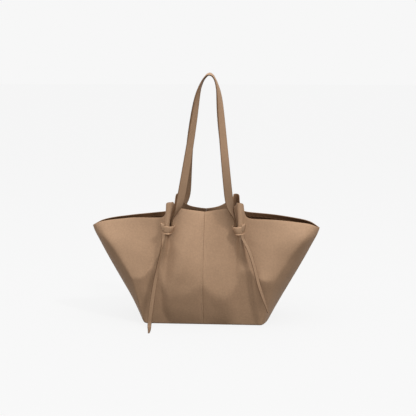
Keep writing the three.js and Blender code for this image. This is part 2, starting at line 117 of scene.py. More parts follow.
def colour(name, description, hexadecimal):
    """A colour property, given as an sRGB hex code."""
    return bpy.props.FloatVectorProperty(
        name=name, description=description, default=linear(hexadecimal), size=4, subtype="COLOR", min=0, max=1
    )


class ToteBody(bpy.types.PropertyGroup):
    """Sizes of the leather body, its folds and its lining."""

    base_length: length("Base length", "Length of the flat base", 311)
    base_depth: length("Base depth", "Depth of the flat base", 140)
    base_corner: length("Base corner", "Corner radius of the base", 14)
    mouth_width: length("Mouth width", "Width between the two pointed corners", 550)
    corner_height: length("Corner height", "Height of the pointed corners", 224.5)
    wing_height: length("Wing height", "Height of the rim between corner and fold", 249.5)
    lobe_height: length("Lobe height", "Height of the front rim between the folds", 275)
    back_lobe_height: length("Back lobe height", "Height of the back rim between the folds", 267)
    rim_height: length("Rim height", "Height of the rim at the centre seam", 265)
    pipe_height: length("Pipe height", "Height of the pinched folds", 294)
    belly_height: length("Belly height", "Height at which the body is deepest", 108)
    belly_depth: length("Belly depth", "How far the middle swells from the centre plane", 94)
    wing_depth: length("Wing depth", "How far the wings swell from the centre plane", 84)
    side_strip: length("Side strip", "Width of the flank beside a side seam", 46)
    mouth_depth: length("Mouth depth", "Half opening at the centre seam", 27)
    mouth_lobe_depth: length("Mouth lobe depth", "Half opening beside the centre seam", 47)
    lobe_depth: length("Lobe depth", "Half depth of the lobes below the rim", 66)
    left_opening: length("Left opening", "Half opening of the left wing", 27)
    right_opening: length("Right opening", "Half opening of the right wing", 42)
    front_gather: length("Front gather", "Place of the front folds from the centre", 86)
    back_gather: length("Back gather", "Place of the back folds from the centre", 72)
    left_drift: length("Left drift", "How far the valley under a left knot runs outward", 34)
    right_drift: length("Right drift", "How far the valley under a right knot runs outward", 18)
    gather_depth: length("Gather depth", "Distance of a fold's root from the centre plane", 60)
    pinch_depth: length("Pinch depth", "How far a pinched fold stands out", 23.4)
    pipe_lean: length("Pipe lean", "How far the left front pipe leans to the centre", 7)
    pinch_half: length("Pinch half width", "Half width of a pinched fold", 6.5)
    pinch_root: length("Pinch root", "Half width of a fold at its root", 8.5)
    leather: length("Leather", "Thickness of the leather", 2)
    lining: length("Lining", "Thickness of the lining cloth", 0.8)
    gap: length("Gap", "Gap between pieces that touch", 0.3)
    lining_inset: length("Lining inset", "Distance of the lining from the leather's outside", 6)
    lining_relief: length("Lining relief", "How far the lining stays clear of a fold", 14)
    base_leather: length("Base leather", "Thickness of the base leather", 2.4)
    base_round: length("Base rounding", "Rounding of the base leather's edge", 0.8)
    cloth_round: length("Cloth rounding", "Rounding of the base lining's edge", 0.2)
    board: length("Board", "Thickness of the base board", 2)
    seam_roll: length("Seam roll", "Radius of an edge that turns in at a seam", 0.5)
    wrinkle: length("Wrinkle", "Height of the soft waves in the leather", 0.5)


class ToteTies(bpy.types.PropertyGroup):
    """Sizes of the ties, knotted round the folds."""

    low: length("Knot low", "Lower edge of a knot", 218)
    high: length("Knot high", "Upper edge of a knot", 239)
    outer: length("Outer half", "Reach of a knot on the side away from the strap", 12.4)
    inner: length("Inner half", "Reach of a knot on the side of the strap", 18.4)
    depth: length("Depth", "Front-to-back size of a knot", 38)
    band: length("Band", "Thickness of the wrapped band", 2.2)
    ear_width: length("Ear width", "Width of the tie's end that stands up beside a knot", 9)
    ear_thickness: length("Ear thickness", "Thickness of that end", 1.6)
    width: length("Tail width", "Width of a tail at the knot", 10)
    tip: length("Tail tip", "Width of a tail at its end", 4)
    thickness: length("Tail thickness", "Thickness of a tail", 2)
    tuck: length("Tuck", "How far a tail's top is tucked into the knot", 3)
    bend: length("Bend", "Length over which a tail bends when it swings", 16)


class ToteStraps(bpy.types.PropertyGroup):
    """Sizes of the two straps."""

    width: length("Width", "Width of a strap", 20)
    end_width: length("End width", "Width of a strap in the knot", 12)
    thickness: length("Thickness", "Thickness of a strap", 3.2)
    hinge: length("Hinge", "Height at which a strap starts to swing", 242.3)
    foot: length("Foot", "Height of a strap's end inside the knot", 234)
    height: length("Height", "Height of the arch", 584)
    spread: length("Spread", "Half distance between the legs at the rim", 56)
    lean: length("Lean", "How far the arch leans to the right", 10)
    sway: length("Sway", "How far the back strap bows to the left", 6)
    setback: length("Setback", "How far the ends sit behind the fold's front", 13.5)
    clearance: length("Clearance", "Gap from a strap to the fold and to the centre plane", 1.5)
    tilt: angle("Tilt", "Turn of the strap's face at the arch", 15)
    bend_below: length("Bend below", "Where a swinging strap starts to bend, below the hinge", 3)
    bend_above: length("Bend above", "Where a swinging strap stops bending, above the hinge", 20)


class ToteSeams(bpy.types.PropertyGroup):
    """Sizes of the stitches along the centre seams."""

    spacing: length("Spacing", "Distance from stitch to stitch", 4.2)
    stitch: length("Stitch", "Length of a stitch", 3)
    thread: length("Thread", "Thickness of the thread", 0.9)
    inset: length("Inset", "Distance of the stitches from the seam", 2.6)
    proud: length("Proud", "How far the thread's middle stands out of the leather", 0.1)


class ToteFinish(bpy.types.PropertyGroup):
    """Colours of the materials."""

    leather: colour("Leather", "Full-grain leather", "#A8896E")
    edge: colour("Edge", "Painted leather edge", "#86684E")
    suede: colour("Suede", "Flesh side of the leather", "#6E5038")
    twill: colour("Twill", "Lining cloth", "#5E432D")
    thread: colour("Thread", "Sewing thread", "#B0957A")
    brass: colour("Brass", "Snap fastener", "#C9B58A")
    fibre: colour("Fibre", "Base board", "#6B5B49")


class ToteStage(bpy.types.PropertyGroup):
    """Camera, light and floor."""

    target: spot("Target", "Point at the middle of the picture", (6.2, 0, 270))
    azimuth: angle("Azimuth", "Camera's turn to the right", 4)
    elevation: angle("Elevation", "Camera's height above the horizon", 9)
    distance: length("Distance", "Camera's distance from the target", 2300)
    lens: factor("Lens", "Focal length in millimetres on a 36 mm sensor", 82.6)
    key_azimuth: angle("Key azimuth", "Key light's turn to the right of the front", 46)
    key_elevation: angle("Key elevation", "Key light's height above the horizon", 51)
    key_angle: angle("Key angle", "Softness of the key light", 6)
    key: factor("Key", "Strength of the key light", 1.1)
    fill: factor("Fill", "Strength of the sky's light", 0.86)
    softbox: factor("Softbox", "Power of the broad light overhead, in watts", 26)
    softbox_size: length("Softbox size", "Side of the broad light", 2400)
    softbox_place: spot("Softbox place", "Middle of the broad light", (0, -600, 2300))
    ground: factor("Ground", "Share of light the floor sends back", 0.06)
    paper: factor("Paper", "Colour of the floor to the eye", 0.7)
    glow: factor("Glow", "Share of the floor's own brightness to the eye", 0.9)
    pale: factor("Pale", "Brightness of the background", 0.93)


def in_mm(group):
    """The group's values, with every length in millimetres."""
    values = {}
    for prop in group.bl_rna.properties:
        if prop.identifier in ("rna_type", "name"):
            continue
        value = getattr(group, prop.identifier)
        values[prop.identifier] = value / MM if getattr(prop, "unit", "NONE") == "LENGTH" else value
    return SimpleNamespace(**values)


def mix(a, b, t):
    """Value between a and b."""
    return a + (b - a) * t


def spline_weights(count, ts):
    """Weights of a clamped uniform cubic spline's control points at each t."""
    degree = 3
    knots = np.concatenate([np.zeros(degree), np.linspace(0, 1, count - degree + 1), np.ones(degree)])
    ts = np.clip(np.asarray(ts, float), 0, 1 - 1e-12)
    basis = ((knots[:-1] <= ts[:, None]) & (ts[:, None] < knots[1:])).astype(float)
    for d in range(1, degree + 1):
        span = knots[d:] - knots[:-d]
        span = np.where(span == 0, 1, span)
        rising = (ts[:, None] - knots[:-d][None, :]) / span
        basis = rising[:, :-1] * basis[:, :-1] + (1 - rising[:, 1:]) * basis[:, 1:]
    return basis


def surface(net, us, vs):
    """Points of a spline surface, rows along v and columns along u."""
    rows = spline_weights(net.shape[0], vs)
    columns = spline_weights(net.shape[1], us)
    return np.einsum("ri,cj,ijk->rck", rows, columns, net)


def unit(vectors):
    """Vectors at length one."""
    return vectors / np.maximum(np.linalg.norm(vectors, axis=-1, keepdims=True), 1e-9)


def levels(b, side_x, side_y):
    """Rows of the body's net from base to rim: width, flank, pinch, and depth and height at five stations."""
    opening = b.left_opening if side_x < 0 else b.right_opening
    lobe = b.lobe_height if side_y < 0 else b.back_lobe_height
    base = b.base_depth / 2
    full = np.array([0.96, 1 if side_x < 0 else 1.12, 0.97, 0, 0]) * b.wing_depth
    full += np.array([0, 0, 0, 1, 0.96]) * b.belly_depth
    belly = np.array([1, 1.04, 1.22, 0.66, 0.95]) * b.belly_height
    rim = np.array([b.corner_height, b.wing_height, b.pipe_height, lobe, b.rim_height])

    def swelling(*shares):
        return mix(base, full, np.array(shares))

    def below(*shares):
        return belly * np.array(shares)

    def above(*shares):
        return mix(belly, rim, np.array(shares))

    waist = full * np.array([0.77, 0.8, 0.88, 1.02 if side_x < 0 else 0.86, 0.89])
    shoulder = np.array([
        mix(opening, b.wing_depth, 0.45), mix(opening, b.wing_depth, 0.38 if side_x < 0 else 0.48),
        1.06 * b.gather_depth, (1.07 if side_x < 0 else 1) * b.lobe_depth, 0.86 * b.lobe_depth,
    ])
    neck = np.array([
        mix(opening, b.wing_depth, 0.12), mix(opening, b.wing_depth, 0.15 if side_x < 0 else 0.2),
        0.98 * b.gather_depth, mix(b.mouth_lobe_depth, b.lobe_depth, 0.5),
        mix(b.mouth_depth, b.lobe_depth, 0.35),
    ])
    mouth = np.array([0.62 * opening, opening, 0.92 * b.gather_depth, b.mouth_lobe_depth, b.mouth_depth])
    strip = b.side_strip
    rows = [
        (0, b.base_corner, 0, swelling(0, 0, 0, 0, 0), below(0, 0, 0, 0, 0)),
        (0.12, mix(b.base_corner, strip, 0.14), 0,
         swelling(0.3, 0.24, 0.55, 0.45, 0.45), below(0.26, 0.42, 0.25, 0.32, 0.3)),
        (0.5, strip, 0, full, belly),
        (0.75, 0.93 * strip, 0.2, waist, above(0.46, 0.37, 0.14, 0.35, 0.32)),
        (0.9, 0.69 * strip, 0.85, shoulder, above(0.77, 0.65, 0.44, 0.65, 0.66)),
        (0.96, 0.59 * strip, 1, neck, above(0.87, 0.83, 0.72, 0.84, 0.88)),
        (1, 0.59 * strip, 1, mouth, rim),
    ]
    return [(mix(b.base_length, b.mouth_width, g) / 2, s, p, d, h) for g, s, p, d, h in rows]


def control_row(b, level, gather_x, fold, flare, crest, rise):
    """Fifteen control points of one level, from the side seam to the centre seam, on the positive side."""
    width, strip, pinch, (ridge, wing, gather, lobe, seam), (z_side, z_wing, z_gather, z_lobe, z_seam) = level
    half = b.pinch_half * flare
    foot = b.pinch_root * flare

    def spread(loose, tight):
        return gather_x + mix(loose * tight, tight, pinch)

    root = gather + min(fold, 0) * pinch
    side = root + 0.4 * max(fold, 0) * pinch
    front = root + max(fold, 0) * pinch
    ridge_x = width - strip
    root_x = spread(2, foot)
    inner_x = spread(2.8, -foot)
    z_root = mix(z_wing, z_gather, 0.3 - 0.2 * pinch)
    edge = b.gap / 2
    return [
        (width, edge, z_side),
        (width - 0.3 * strip, 0.5 * ridge, mix(z_side, z_wing, 0.2)),
        (ridge_x, ridge, mix(z_side, z_wing, 0.6)),
        (mix(ridge_x, root_x, 0.5), wing, z_wing),
        (mix(ridge_x, root_x, 0.85), mix(wing, gather, 0.7), mix(z_wing, z_root, 0.6)),
        (root_x, root, z_root),
        (spread(1.7, half), side, mix(z_gather, z_root, 0.2 * pinch)),
        (spread(0.8, half), front, z_gather),
        (spread(1.1, -half), front, z_gather),
        (spread(2.8, -half), side, z_gather),
        (inner_x, root, mix(z_gather, z_lobe, 0.6)),
        (mix(crest, 1, 0.5) * inner_x, mix(gather, lobe, 0.85), mix(z_gather, z_lobe, rise)),
        (crest * inner_x, lobe, z_lobe),
        (0.33 * crest * inner_x, mix(lobe, seam, 0.9), mix(z_lobe, z_seam, 0.4 + 0.4 * pinch)),
        (edge, seam, z_seam),
    ]


def gather_of(b, side_y):
    """Distance of a fold from the centre seam."""
    return b.front_gather if side_y < 0 else b.back_gather


def fold_front(b):
    """Distance of the folds' front from the centre plane, at the knots."""
    return 0.97 * b.gather_depth + b.pinch_depth


def valley(b, side_x, side_y):
    """Place of a fold and its valley at each level, and the crest and rise of the lobe beside it."""
    drift = b.left_drift if side_x < 0 else b.right_drift
    places = gather_of(b, side_y) + drift * np.array([0.6, 1, 1, 0.55, 0.1, 0, 0])
    if side_x < 0 and side_y < 0:
        places -= b.pipe_lean * np.array([0, 0, 0, 0, 0, 0.3, 1])
    crests = [0.76, 0.76, 0.76, 0.56, 0.5, 0.6, 0.76] if side_x < 0 else [0.55] * 7
    return places, crests, 0.95 if side_y < 0 else 0.6


def sharpen(net, axis, line, share):
    """The net with two more control lines close beside one, so that the surface bends more tightly there."""
    at = [np.take(net, i, axis) for i in range(net.shape[axis])]
    before = mix(at[line], at[line - 1], share)
    after = mix(at[line], at[line + 1], share)
    return np.stack(at[:line] + [before, at[line], after] + at[line + 1 :], axis)


def panel_net(b, side_x, side_y):
    """Net of one leather half panel; the folds open a little at the rim."""
    flares = [1, 1, 1, 1, 0.75, 0.85, 1.3] if side_y < 0 else [1, 1, 1, 1, 0.8, 0.9, 1.2]
    places, crests, rise = valley(b, side_x, side_y)
    rows = [
        control_row(b, level, place, b.pinch_depth, flare, crest, rise)
        for level, place, flare, crest in zip(levels(b, side_x, side_y), places, flares, crests)
    ]
    bend = np.array([0.35, 0.28, 0.2, 0.15, 0.15, 0.2] + [0.3] * 3 + [0.4] * 6)[:, None]
    net = sharpen(np.array(rows), 0, 2, bend)
    ease = np.array([0.6, 0.4, 0.3, 0.3, 0.3, 0.35, 0.5, 0.65, 0.75])[:, None]
    net = sharpen(net, 1, 2, ease)
    return net * np.array([side_x, side_y, 1])


def board_top(b):
    """Height at which the base lining lies, on the board."""
    return b.base_leather + b.gap + b.board + b.gap


def lining_net(b, side_x, side_y):
    """Net of one half of the lining, inside the leather."""
    places, crests, rise = valley(b, side_x, side_y)
    body = levels(b, side_x, side_y)
    rim = len(body) - 1
    rows = []
    for i, (width, strip, pinch, depths, heights) in enumerate(body):
        heights = heights.copy()
        heights[2] = mix(heights[2], heights[3], pinch)
        level = (width, strip, pinch, depths, heights)
        row = np.array(control_row(b, level, places[i], -b.lining_relief, 1, crests[i], rise))
        inset = b.lining_inset * (2 if i == rim else 1)
        row[:-1, 0] -= inset * np.minimum(1, row[:-1, 0] / places[i])
        row[1:, 1] -= b.lining_inset
        row[0, 1] = b.gap / 2
        row[:, 2] += board_top(b) if i == 0 else -b.lining_inset if i == rim else 0
        rows.append(row)
    return np.array(rows) * np.array([side_x, side_y, 1])


def inward(net, us, vs):
    """Unit normals of a net's surface that point into the bag, and its upward direction along v."""
    e = 1e-4
    across = surface(net, us + e * (us < 0.5), vs) - surface(net, us - e * (us >= 0.5), vs)
    up = surface(net, us, vs + e * (vs < 0.5)) - surface(net, us, vs - e * (vs >= 0.5))
    normals = np.cross(across, up)
    normals[:, 0, 1] = 0
    normals[:, -1, 0] = 0
    normals[0, :, 2] = 0
    middle = normals[len(vs) // 2, len(us) // 2, 1] * net[2, 7, 1]
    return unit(normals) * (-1 if middle > 0 else 1), unit(up)


def arc_from(points, axis, end):
    """Distance of each grid point from one end of its row or column, along the grid."""
    steps = np.linalg.norm(np.diff(points, axis=axis), axis=-1)
    total = np.concatenate([np.zeros_like(np.take(steps, [0], axis)), np.cumsum(steps, axis)], axis)
    return np.take(total, [-1], axis) - total if end else total


def roll(distance, radius):
    """How far an edge turns in at this distance from a seam."""
    short = np.clip(radius - distance, 0, radius)
    return radius - np.sqrt(radius**2 - short**2)


def fine_ends(count, ends):
    """Even parameters from 0 to 1 with extra ones close to both ends."""
    inner = np.linspace(0, 1, count + 1)
    extra = np.array(ends)
    return np.unique(np.concatenate([inner, extra, 1 - extra]).round(6))


def put(name, data):
    """A new object in the scene."""
    obj = bpy.data.objects.new(name, data)
    bpy.context.scene.collection.objects.link(obj)
    return obj


def smoothed(name, mesh, crease):
    """An object of a mesh, smooth but for edges sharper than crease."""
    mesh.shade_smooth()
    mesh.set_sharp_from_angle(angle=crease)
    return put(name, mesh)


def quads(rows, columns, closed_rows, closed_columns):
    """Faces of a grid of points, closed from last to first where said."""
    faces = []
    for i in range(rows if closed_rows else rows - 1):
        for j in range(columns if closed_columns else columns - 1):
            k, m = (i + 1) % rows, (j + 1) % columns
            faces.append((i * columns + j, i * columns + m, k * columns + m, k * columns + j))
    return faces


def new_piece(name, points, faces, materials, slots=None, attributes=None):
    """A smooth closed mesh object at the origin, from points in millimetres."""
    mesh = bpy.data.meshes.new(name)
    mesh.from_pydata((np.asarray(points).reshape(-1, 3) * MM).tolist(), [], faces)
    for material in materials:
        mesh.materials.append(material)
    if slots is not None:
        mesh.polygons.foreach_set("material_index", slots)
    for key, values in (attributes or {}).items():
        attribute = mesh.attributes.new(key, "FLOAT", "POINT")
        attribute.data.foreach_set("value", np.ravel(values).astype(np.float32))
    work = bmesh.new()
    work.from_mesh(mesh)
    bmesh.ops.recalc_face_normals(work, faces=work.faces)
    work.to_mesh(mesh)
    work.free()
    return smoothed(name, mesh, CREASE)


def shell(name, outer, inner, rim, materials, attributes=None):
    """A sheet with thickness from an outer and an inner grid, with any rim rows between their last rows."""
    ring = np.concatenate([outer, rim, inner[::-1]])
    rows, columns = ring.shape[:2]
    top = len(outer) - 1
    faces = quads(rows, columns, True, False)
    sides = [0 if k < top or k == rows - 1 else 1 if k < top + len(rim) + 1 else 2 for k in range(rows)]
    slots = np.repeat(sides, columns - 1).tolist()
    for j in (0, columns - 1):
        for i in range(top):
            corners = (i, i + 1, rows - 2 - i, rows - 1 - i)
            faces.append(tuple(k * columns + j for k in corners))
            slots.append(0)
        if len(rim):
            faces.append(tuple(k * columns + j for k in range(top, top + len(rim) + 2)))
            slots.append(1)
    last = len(materials) - 1
    return new_piece(name, ring, faces, materials, [min(s, last) for s in slots], attributes)


SECTION_SIDE = np.linspace(-1, 1, 7)
SECTION_TURN = np.radians([60, 30, 0, -30, -60])
SECTION_POINTS = 2 * (len(SECTION_SIDE) + len(SECTION_TURN))


def ribbon(name, centres, across, widths, thicknesses, materials, attributes=None):
    """A strap of rounded section along a line of centres, its narrow edges in the second material.

    Attributes hold one value for each centre.
    """
    centres = np.asarray(centres, float)
    along = unit(np.gradient(centres, axis=0))
    across = unit(across - along * np.sum(across * along, axis=1, keepdims=True))
    normals = np.cross(along, across)
    count = len(centres)
    half_w = np.broadcast_to(np.asarray(widths, float) / 2, count)
    half_t = np.broadcast_to(np.asarray(thicknesses, float) / 2, count)
    flat = np.maximum(half_w - 0.8 * half_t, 0.3 * half_w)
    crown = 1 - 0.12 * SECTION_SIDE**2
    ring_s = [flat * s for s in SECTION_SIDE] + [flat + (half_w - flat) * math.cos(a) for a in SECTION_TURN]
    ring_n = [half_t * c for c in crown] + [0.88 * half_t * math.sin(a) for a in SECTION_TURN]
    ring_s += [-column for column in ring_s]
    ring_n += [-column for column in ring_n]
    s = np.stack(ring_s, 1)[:, :, None]
    n = np.stack(ring_n, 1)[:, :, None]
    points = centres[:, None, :] + across[:, None, :] * s + normals[:, None, :] * n
    around = SECTION_POINTS
    edge = [int(j % (around // 2) >= len(SECTION_SIDE) - 1) for j in range(around)]
    ends = [tuple(i * around + j for j in range(around)) for i in (0, count - 1)]
    faces = quads(count, around, False, True) + ends
    slots = edge * (count - 1) + [1] * len(ends)
    marks = {key: np.repeat(values, around) for key, values in (attributes or {}).items()}
    return new_piece(name, points, faces, materials, slots, marks)


def spline_path(controls, count):
    """Even-parameter samples of a spline through a list of control rows."""
    controls = np.array(controls, float)
    return spline_weights(len(controls), np.linspace(0, 1, count)) @ controls


def add(tree, kind, settings=None, links=None):
    """A new node in the tree, with its settings or input values, and links into its inputs."""
    node = tree.nodes.new(kind)
    for key, value in (settings or {}).items():
        if isinstance(key, int) or key in node.inputs:
            node.inputs[key].default_value = value
        else:
            setattr(node, key, value)
    for key, source in (links or {}).items():
        tree.links.new(source, node.inputs[key])
    return node


def empty_tree(data):
    """Node tree of a material or a world, without nodes."""
    data.use_nodes = True
    data.node_tree.nodes.clear()
    return data.node_tree


def new_material(name):
    """A new material, its tree, and the link that lays a pattern on a piece."""
    material = bpy.data.materials.new(name)
    tree = empty_tree(material)
    return material, tree, {"Vector": add(tree, "ShaderNodeTexCoord").outputs["Object"]}


def surfaced(material, settings, links):
    """The material, with its shader set and linked."""
    tree = material.node_tree
    shader = add(tree, "ShaderNodeBsdfPrincipled", settings, links)
    add(tree, "ShaderNodeOutputMaterial", links={"Surface": shader.outputs["BSDF"]})
    return material


def touched(tree, base, attribute, rgba):
    """Colour that turns from a base to another where a piece's attribute says so."""
    where = add(tree, "ShaderNodeAttribute", {"attribute_name": attribute})
    links = {0: where.outputs["Fac"], 6: base.outputs[2]}
    return add(tree, "ShaderNodeMix", {"data_type": "RGBA", 7: rgba}, links)


def scaled(rgba, share):
    """A colour made lighter or darker."""
    return tuple(min(1.0, c * share) for c in rgba[:3]) + (1.0,)


def wave_scale(period):
    """Scale of a wave texture whose bands repeat after this many millimetres."""
    return 2 * math.pi / (20 * period * MM)


def leather_material(finish):
    """Drum-dyed full-grain calf: cloudy tone, pebble grain, lighter by wear and painted light, darker by
    painted shade.
    """
    material, tree, laid = new_material("full_grain_leather")
    cloud = add(tree, "ShaderNodeTexNoise", {"Scale": 1 / (71.4 * MM), "Detail": 3.0}, laid)
    # Grain cells are about 1 mm across; the speckle is drawn at 4 mm so that it still shows at picture size.
    speckle = add(tree, "ShaderNodeTexNoise", {"Scale": 1 / (4 * MM), "Detail": 2.0}, laid)
    tone = add(
        tree, "ShaderNodeMapRange", {"From Min": 0.3, "From Max": 0.7}, {"Value": cloud.outputs["Fac"]}
    )
    body = add(
        tree, "ShaderNodeMix",
        {"data_type": "RGBA", 6: scaled(finish.leather, 0.95), 7: scaled(finish.leather, 1.05)},
        {0: tone.outputs["Result"]},
    )
    grainy = add(
        tree, "ShaderNodeMapRange", {"To Min": 0.84, "To Max": 1.16}, {"Value": speckle.outputs["Fac"]}
    )
    speckled = add(
        tree, "ShaderNodeMix", {"data_type": "RGBA", "blend_type": "MULTIPLY", 0: 1.0},
        {6: body.outputs[2], 7: grainy.outputs["Result"]},
    )
    # Lighter by wear and painted highlight on the panels, by painted light on the knots.
    light_and_wear = touched(tree, speckled, "wear_and_painted_light", scaled(finish.leather, 1.3))
    # Darker by painted shade on the straps and the tails.
    painted_shade_tone = touched(tree, light_and_wear, "painted_shade", scaled(finish.leather, 0.4))
    cells = add(tree, "ShaderNodeTexVoronoi", {"Scale": 1 / (1.25 * MM)}, laid)
    grain = add(
        tree, "ShaderNodeBump", {"Strength": 0.25, "Distance": 0.3 * MM},
        {"Height": cells.outputs["Distance"]},
    )
    dull = add(
        tree, "ShaderNodeMapRange", {"To Min": 0.5, "To Max": 0.66}, {"Value": speckle.outputs["Fac"]}
    )
    links = {
        "Base Color": painted_shade_tone.outputs[2], "Roughness": dull.outputs["Result"], "Normal": grain.outputs["Normal"]
    }
    return surfaced(material, {"Specular IOR Level": 0.12}, links)


def edge_material(finish):
    """Cut leather edge, painted and burnished: darker, smoother, uneven along its length, inked and darkened
    with painted shade in places.
    """
    material, tree, laid = new_material("painted_leather_edge")
    uneven = add(tree, "ShaderNodeTexNoise", {"Scale": 1 / (6.25 * MM), "Detail": 2.0}, laid)
    paint = add(
        tree, "ShaderNodeMix",
        {"data_type": "RGBA", 6: scaled(finish.edge, 0.8), 7: scaled(finish.edge, 1.2)},
        {0: uneven.outputs["Fac"]},
    )
    # Edge ink, with painted shade under the arch and a painted shadow line beside each tail.
    ink_and_shade_tone = touched(tree, paint, "ink_and_shade", scaled(finish.edge, 0.55))
    links = {"Base Color": ink_and_shade_tone.outputs[2]}
    return surfaced(material, {"Roughness": 0.5, "Specular IOR Level": 0.08}, links)


def suede_material(finish):
    """Flesh side of the leather: dark, fibrous, without shine, lightened with painted light at the middle of
    the mouth.
    """
    material, tree, laid = new_material("brushed_suede")
    nap = add(tree, "ShaderNodeTexNoise", {"Scale": 1 / (3.33 * MM), "Detail": 4.0}, laid)
    fibre = add(
        tree, "ShaderNodeMix",
        {"data_type": "RGBA", 6: scaled(finish.suede, 0.75), 7: scaled(finish.suede, 1.25)},
        {0: nap.outputs["Fac"]},
    )
    # Painted light: the leather's colour laid on the flesh side at the middle of the mouth.
    light_and_wear = touched(tree, fibre, "wear_and_painted_light", finish.leather)
    fuzz = add(
        tree, "ShaderNodeBump", {"Strength": 0.4, "Distance": 0.4 * MM}, {"Height": nap.outputs["Fac"]}
    )
    links = {"Base Color": light_and_wear.outputs[2], "Normal": fuzz.outputs["Normal"]}
    return surfaced(material, {"Roughness": 0.95, "Specular IOR Level": 0.1}, links)


def twill_material(finish):
    """Cotton twill lining: dark cloth with a diagonal rib."""
    material, tree, laid = new_material("cotton_twill")
    turned = add(tree, "ShaderNodeMapping", {"Rotation": (0, math.radians(50), 0)}, laid)
    # A real rib is about 0.8 mm wide; it is drawn at 6.28 mm so that it shows.
    rib = add(
        tree, "ShaderNodeTexWave", {"Scale": wave_scale(6.28), "Distortion": 0.6},
        {"Vector": turned.outputs["Vector"]},
    )
    cloth = add(
        tree, "ShaderNodeMix",
        {"data_type": "RGBA", 6: scaled(finish.twill, 0.7), 7: scaled(finish.twill, 1.25)},
        {0: rib.outputs["Fac"]},
    )
    ridges = add(
        tree, "ShaderNodeBump", {"Strength": 0.3, "Distance": 0.3 * MM}, {"Height": rib.outputs["Fac"]}
    )
    links = {"Base Color": cloth.outputs[2], "Normal": ridges.outputs["Normal"]}
    return surfaced(material, {"Roughness": 0.9, "Specular IOR Level": 0.15}, links)


def thread_material(finish):
    """Waxed linen thread: a touch lighter than the leather, with its twist as fine dark lines."""
    material, tree, laid = new_material("waxed_thread")
    twist = add(
        tree, "ShaderNodeTexWave", {"Scale": wave_scale(0.785), "bands_direction": "DIAGONAL"}, laid
    )
    strand = add(
        tree, "ShaderNodeMix",
        {"data_type": "RGBA", 6: scaled(finish.thread, 0.85), 7: scaled(finish.thread, 1.1)},
        {0: twist.outputs["Fac"]},
    )
    return surfaced(material, {"Roughness": 0.6}, {"Base Color": strand.outputs[2]})


def brass_material(finish):
    """Lacquered brass of the snap: pale gold with fine turning marks in its shine."""
    material, tree, laid = new_material("lacquered_brass")
    marks = add(tree, "ShaderNodeTexNoise", {"Scale": 1 / (1.11 * MM), "Detail": 2.0}, laid)
    shine = add(tree, "ShaderNodeMapRange", {"To Min": 0.2, "To Max": 0.4}, {"Value": marks.outputs["Fac"]})
    settings = {"Base Color": finish.brass, "Metallic": 1.0}
    return surfaced(material, settings, {"Roughness": shine.outputs["Result"]})


def fibre_material(finish):
    """Pressed fibre board: flecked grey-brown, dry."""
    material, tree, laid = new_material("pressed_fibre")
    fleck = add(tree, "ShaderNodeTexNoise", {"Scale": 1 / (4.55 * MM), "Detail": 5.0}, laid)
    board = add(
        tree, "ShaderNodeMix",
        {"data_type": "RGBA", 6: scaled(finish.fibre, 0.7), 7: scaled(finish.fibre, 1.3)},
        {0: fleck.outputs["Fac"]},
    )
    return surfaced(material, {"Roughness": 0.9}, {"Base Color": board.outputs[2]})


MAKERS = {
    "full_grain_leather": leather_material,
    "painted_leather_edge": edge_material,
    "brushed_suede": suede_material,
    "cotton_twill": twill_material,
    "waxed_thread": thread_material,
    "lacquered_brass": brass_material,
    "pressed_fibre": fibre_material,
}


def materials_of(context, *names):
    """The named materials, each made when it is first asked for."""
    finish = in_mm(context.scene.tote_finish)
    return [bpy.data.materials.get(name) or MAKERS[name](finish) for name in names]


def dress(context, name, material):
    """Gives a CAD node that is shown as it is its material."""
    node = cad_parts[name]
    for place in node.material_slots:
        (place.material,) = materials_of(context, material)


def side_name(side_x, side_y):
    """Name of a quarter of the bag."""
    return ("front" if side_y < 0 else "back") + ("_left" if side_x < 0 else "_right")


def settle(obj, body, slot, *nodes):
    """Lets a finished piece ride on a body in place of CAD nodes; the slot argument is not used."""
    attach(obj, body)
    if nodes:
        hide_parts(*nodes)


def soft_waves(b, x, z, side_x, side_y):
    """Waves of the soft leather: long ones, short ones, and rays that fan out under the knot."""
    long_waves = 0.6 * np.sin(x / 23 + 1.3 * side_y) * np.sin(z / 31 + 0.4)
    short_waves = 0.4 * np.sin(x / 11 + z / 17 + 2.1 * side_x) * np.sin(z / 13 - x / 29)
    aside = x - gather_of(b, side_y) * side_x
    away = np.hypot(aside, np.minimum(z - RAYS_TOP, 0))
    bearing = np.arctan2(aside, KNOT_MIDDLE - z)
    rays = 1.6 * np.cos(9 * bearing + side_x) * np.exp(-away / 34)
    return long_waves + short_waves + rays * np.clip((RAYS_TOP - z) / 20, 0, 1)


def left_ridge(x, z):
    """A soft ridge that runs from a left knot slanting down to the centre seam."""
    across = 0.75 * (x + 80) + 0.66 * (z - 214)
    along = 0.66 * (x + 80) - 0.75 * (z - 214)
    ridge = 7 * np.exp(-(((across - 13) / 23) ** 2) / 2)
    return ridge * np.clip((along - 8) / 30, 0, 1) * np.clip(-x / 45, 0, 1) * (z > 90)


def panel_grid(b, side_x, side_y, us, vs):
    """Outer leather surface of a half panel with its rolled seams and soft waves, and its inward normals."""
    net = panel_net(b, side_x, side_y)
    points = surface(net, us, vs)
    normals, up = inward(net, us, vs)
    from_side = arc_from(points, 1, False)
    from_centre = arc_from(points, 1, True)
    from_base = arc_from(points, 0, False)
    x, z = points[..., 0], points[..., 2]
    waves = soft_waves(b, x, z, side_x, side_y)
    waves *= np.clip(np.minimum(from_side, from_centre) / 12, 0, 1) * np.clip(from_base / 20, 0, 1)
    if side_x < 0:
        waves -= left_ridge(x, z)
    turn = roll(from_side, b.seam_roll) + roll(from_centre, b.seam_roll) + roll(from_base, 6.4 * b.seam_roll)
    points = points + normals * (turn + b.wrinkle * waves)[..., None]
    return points, normals, up


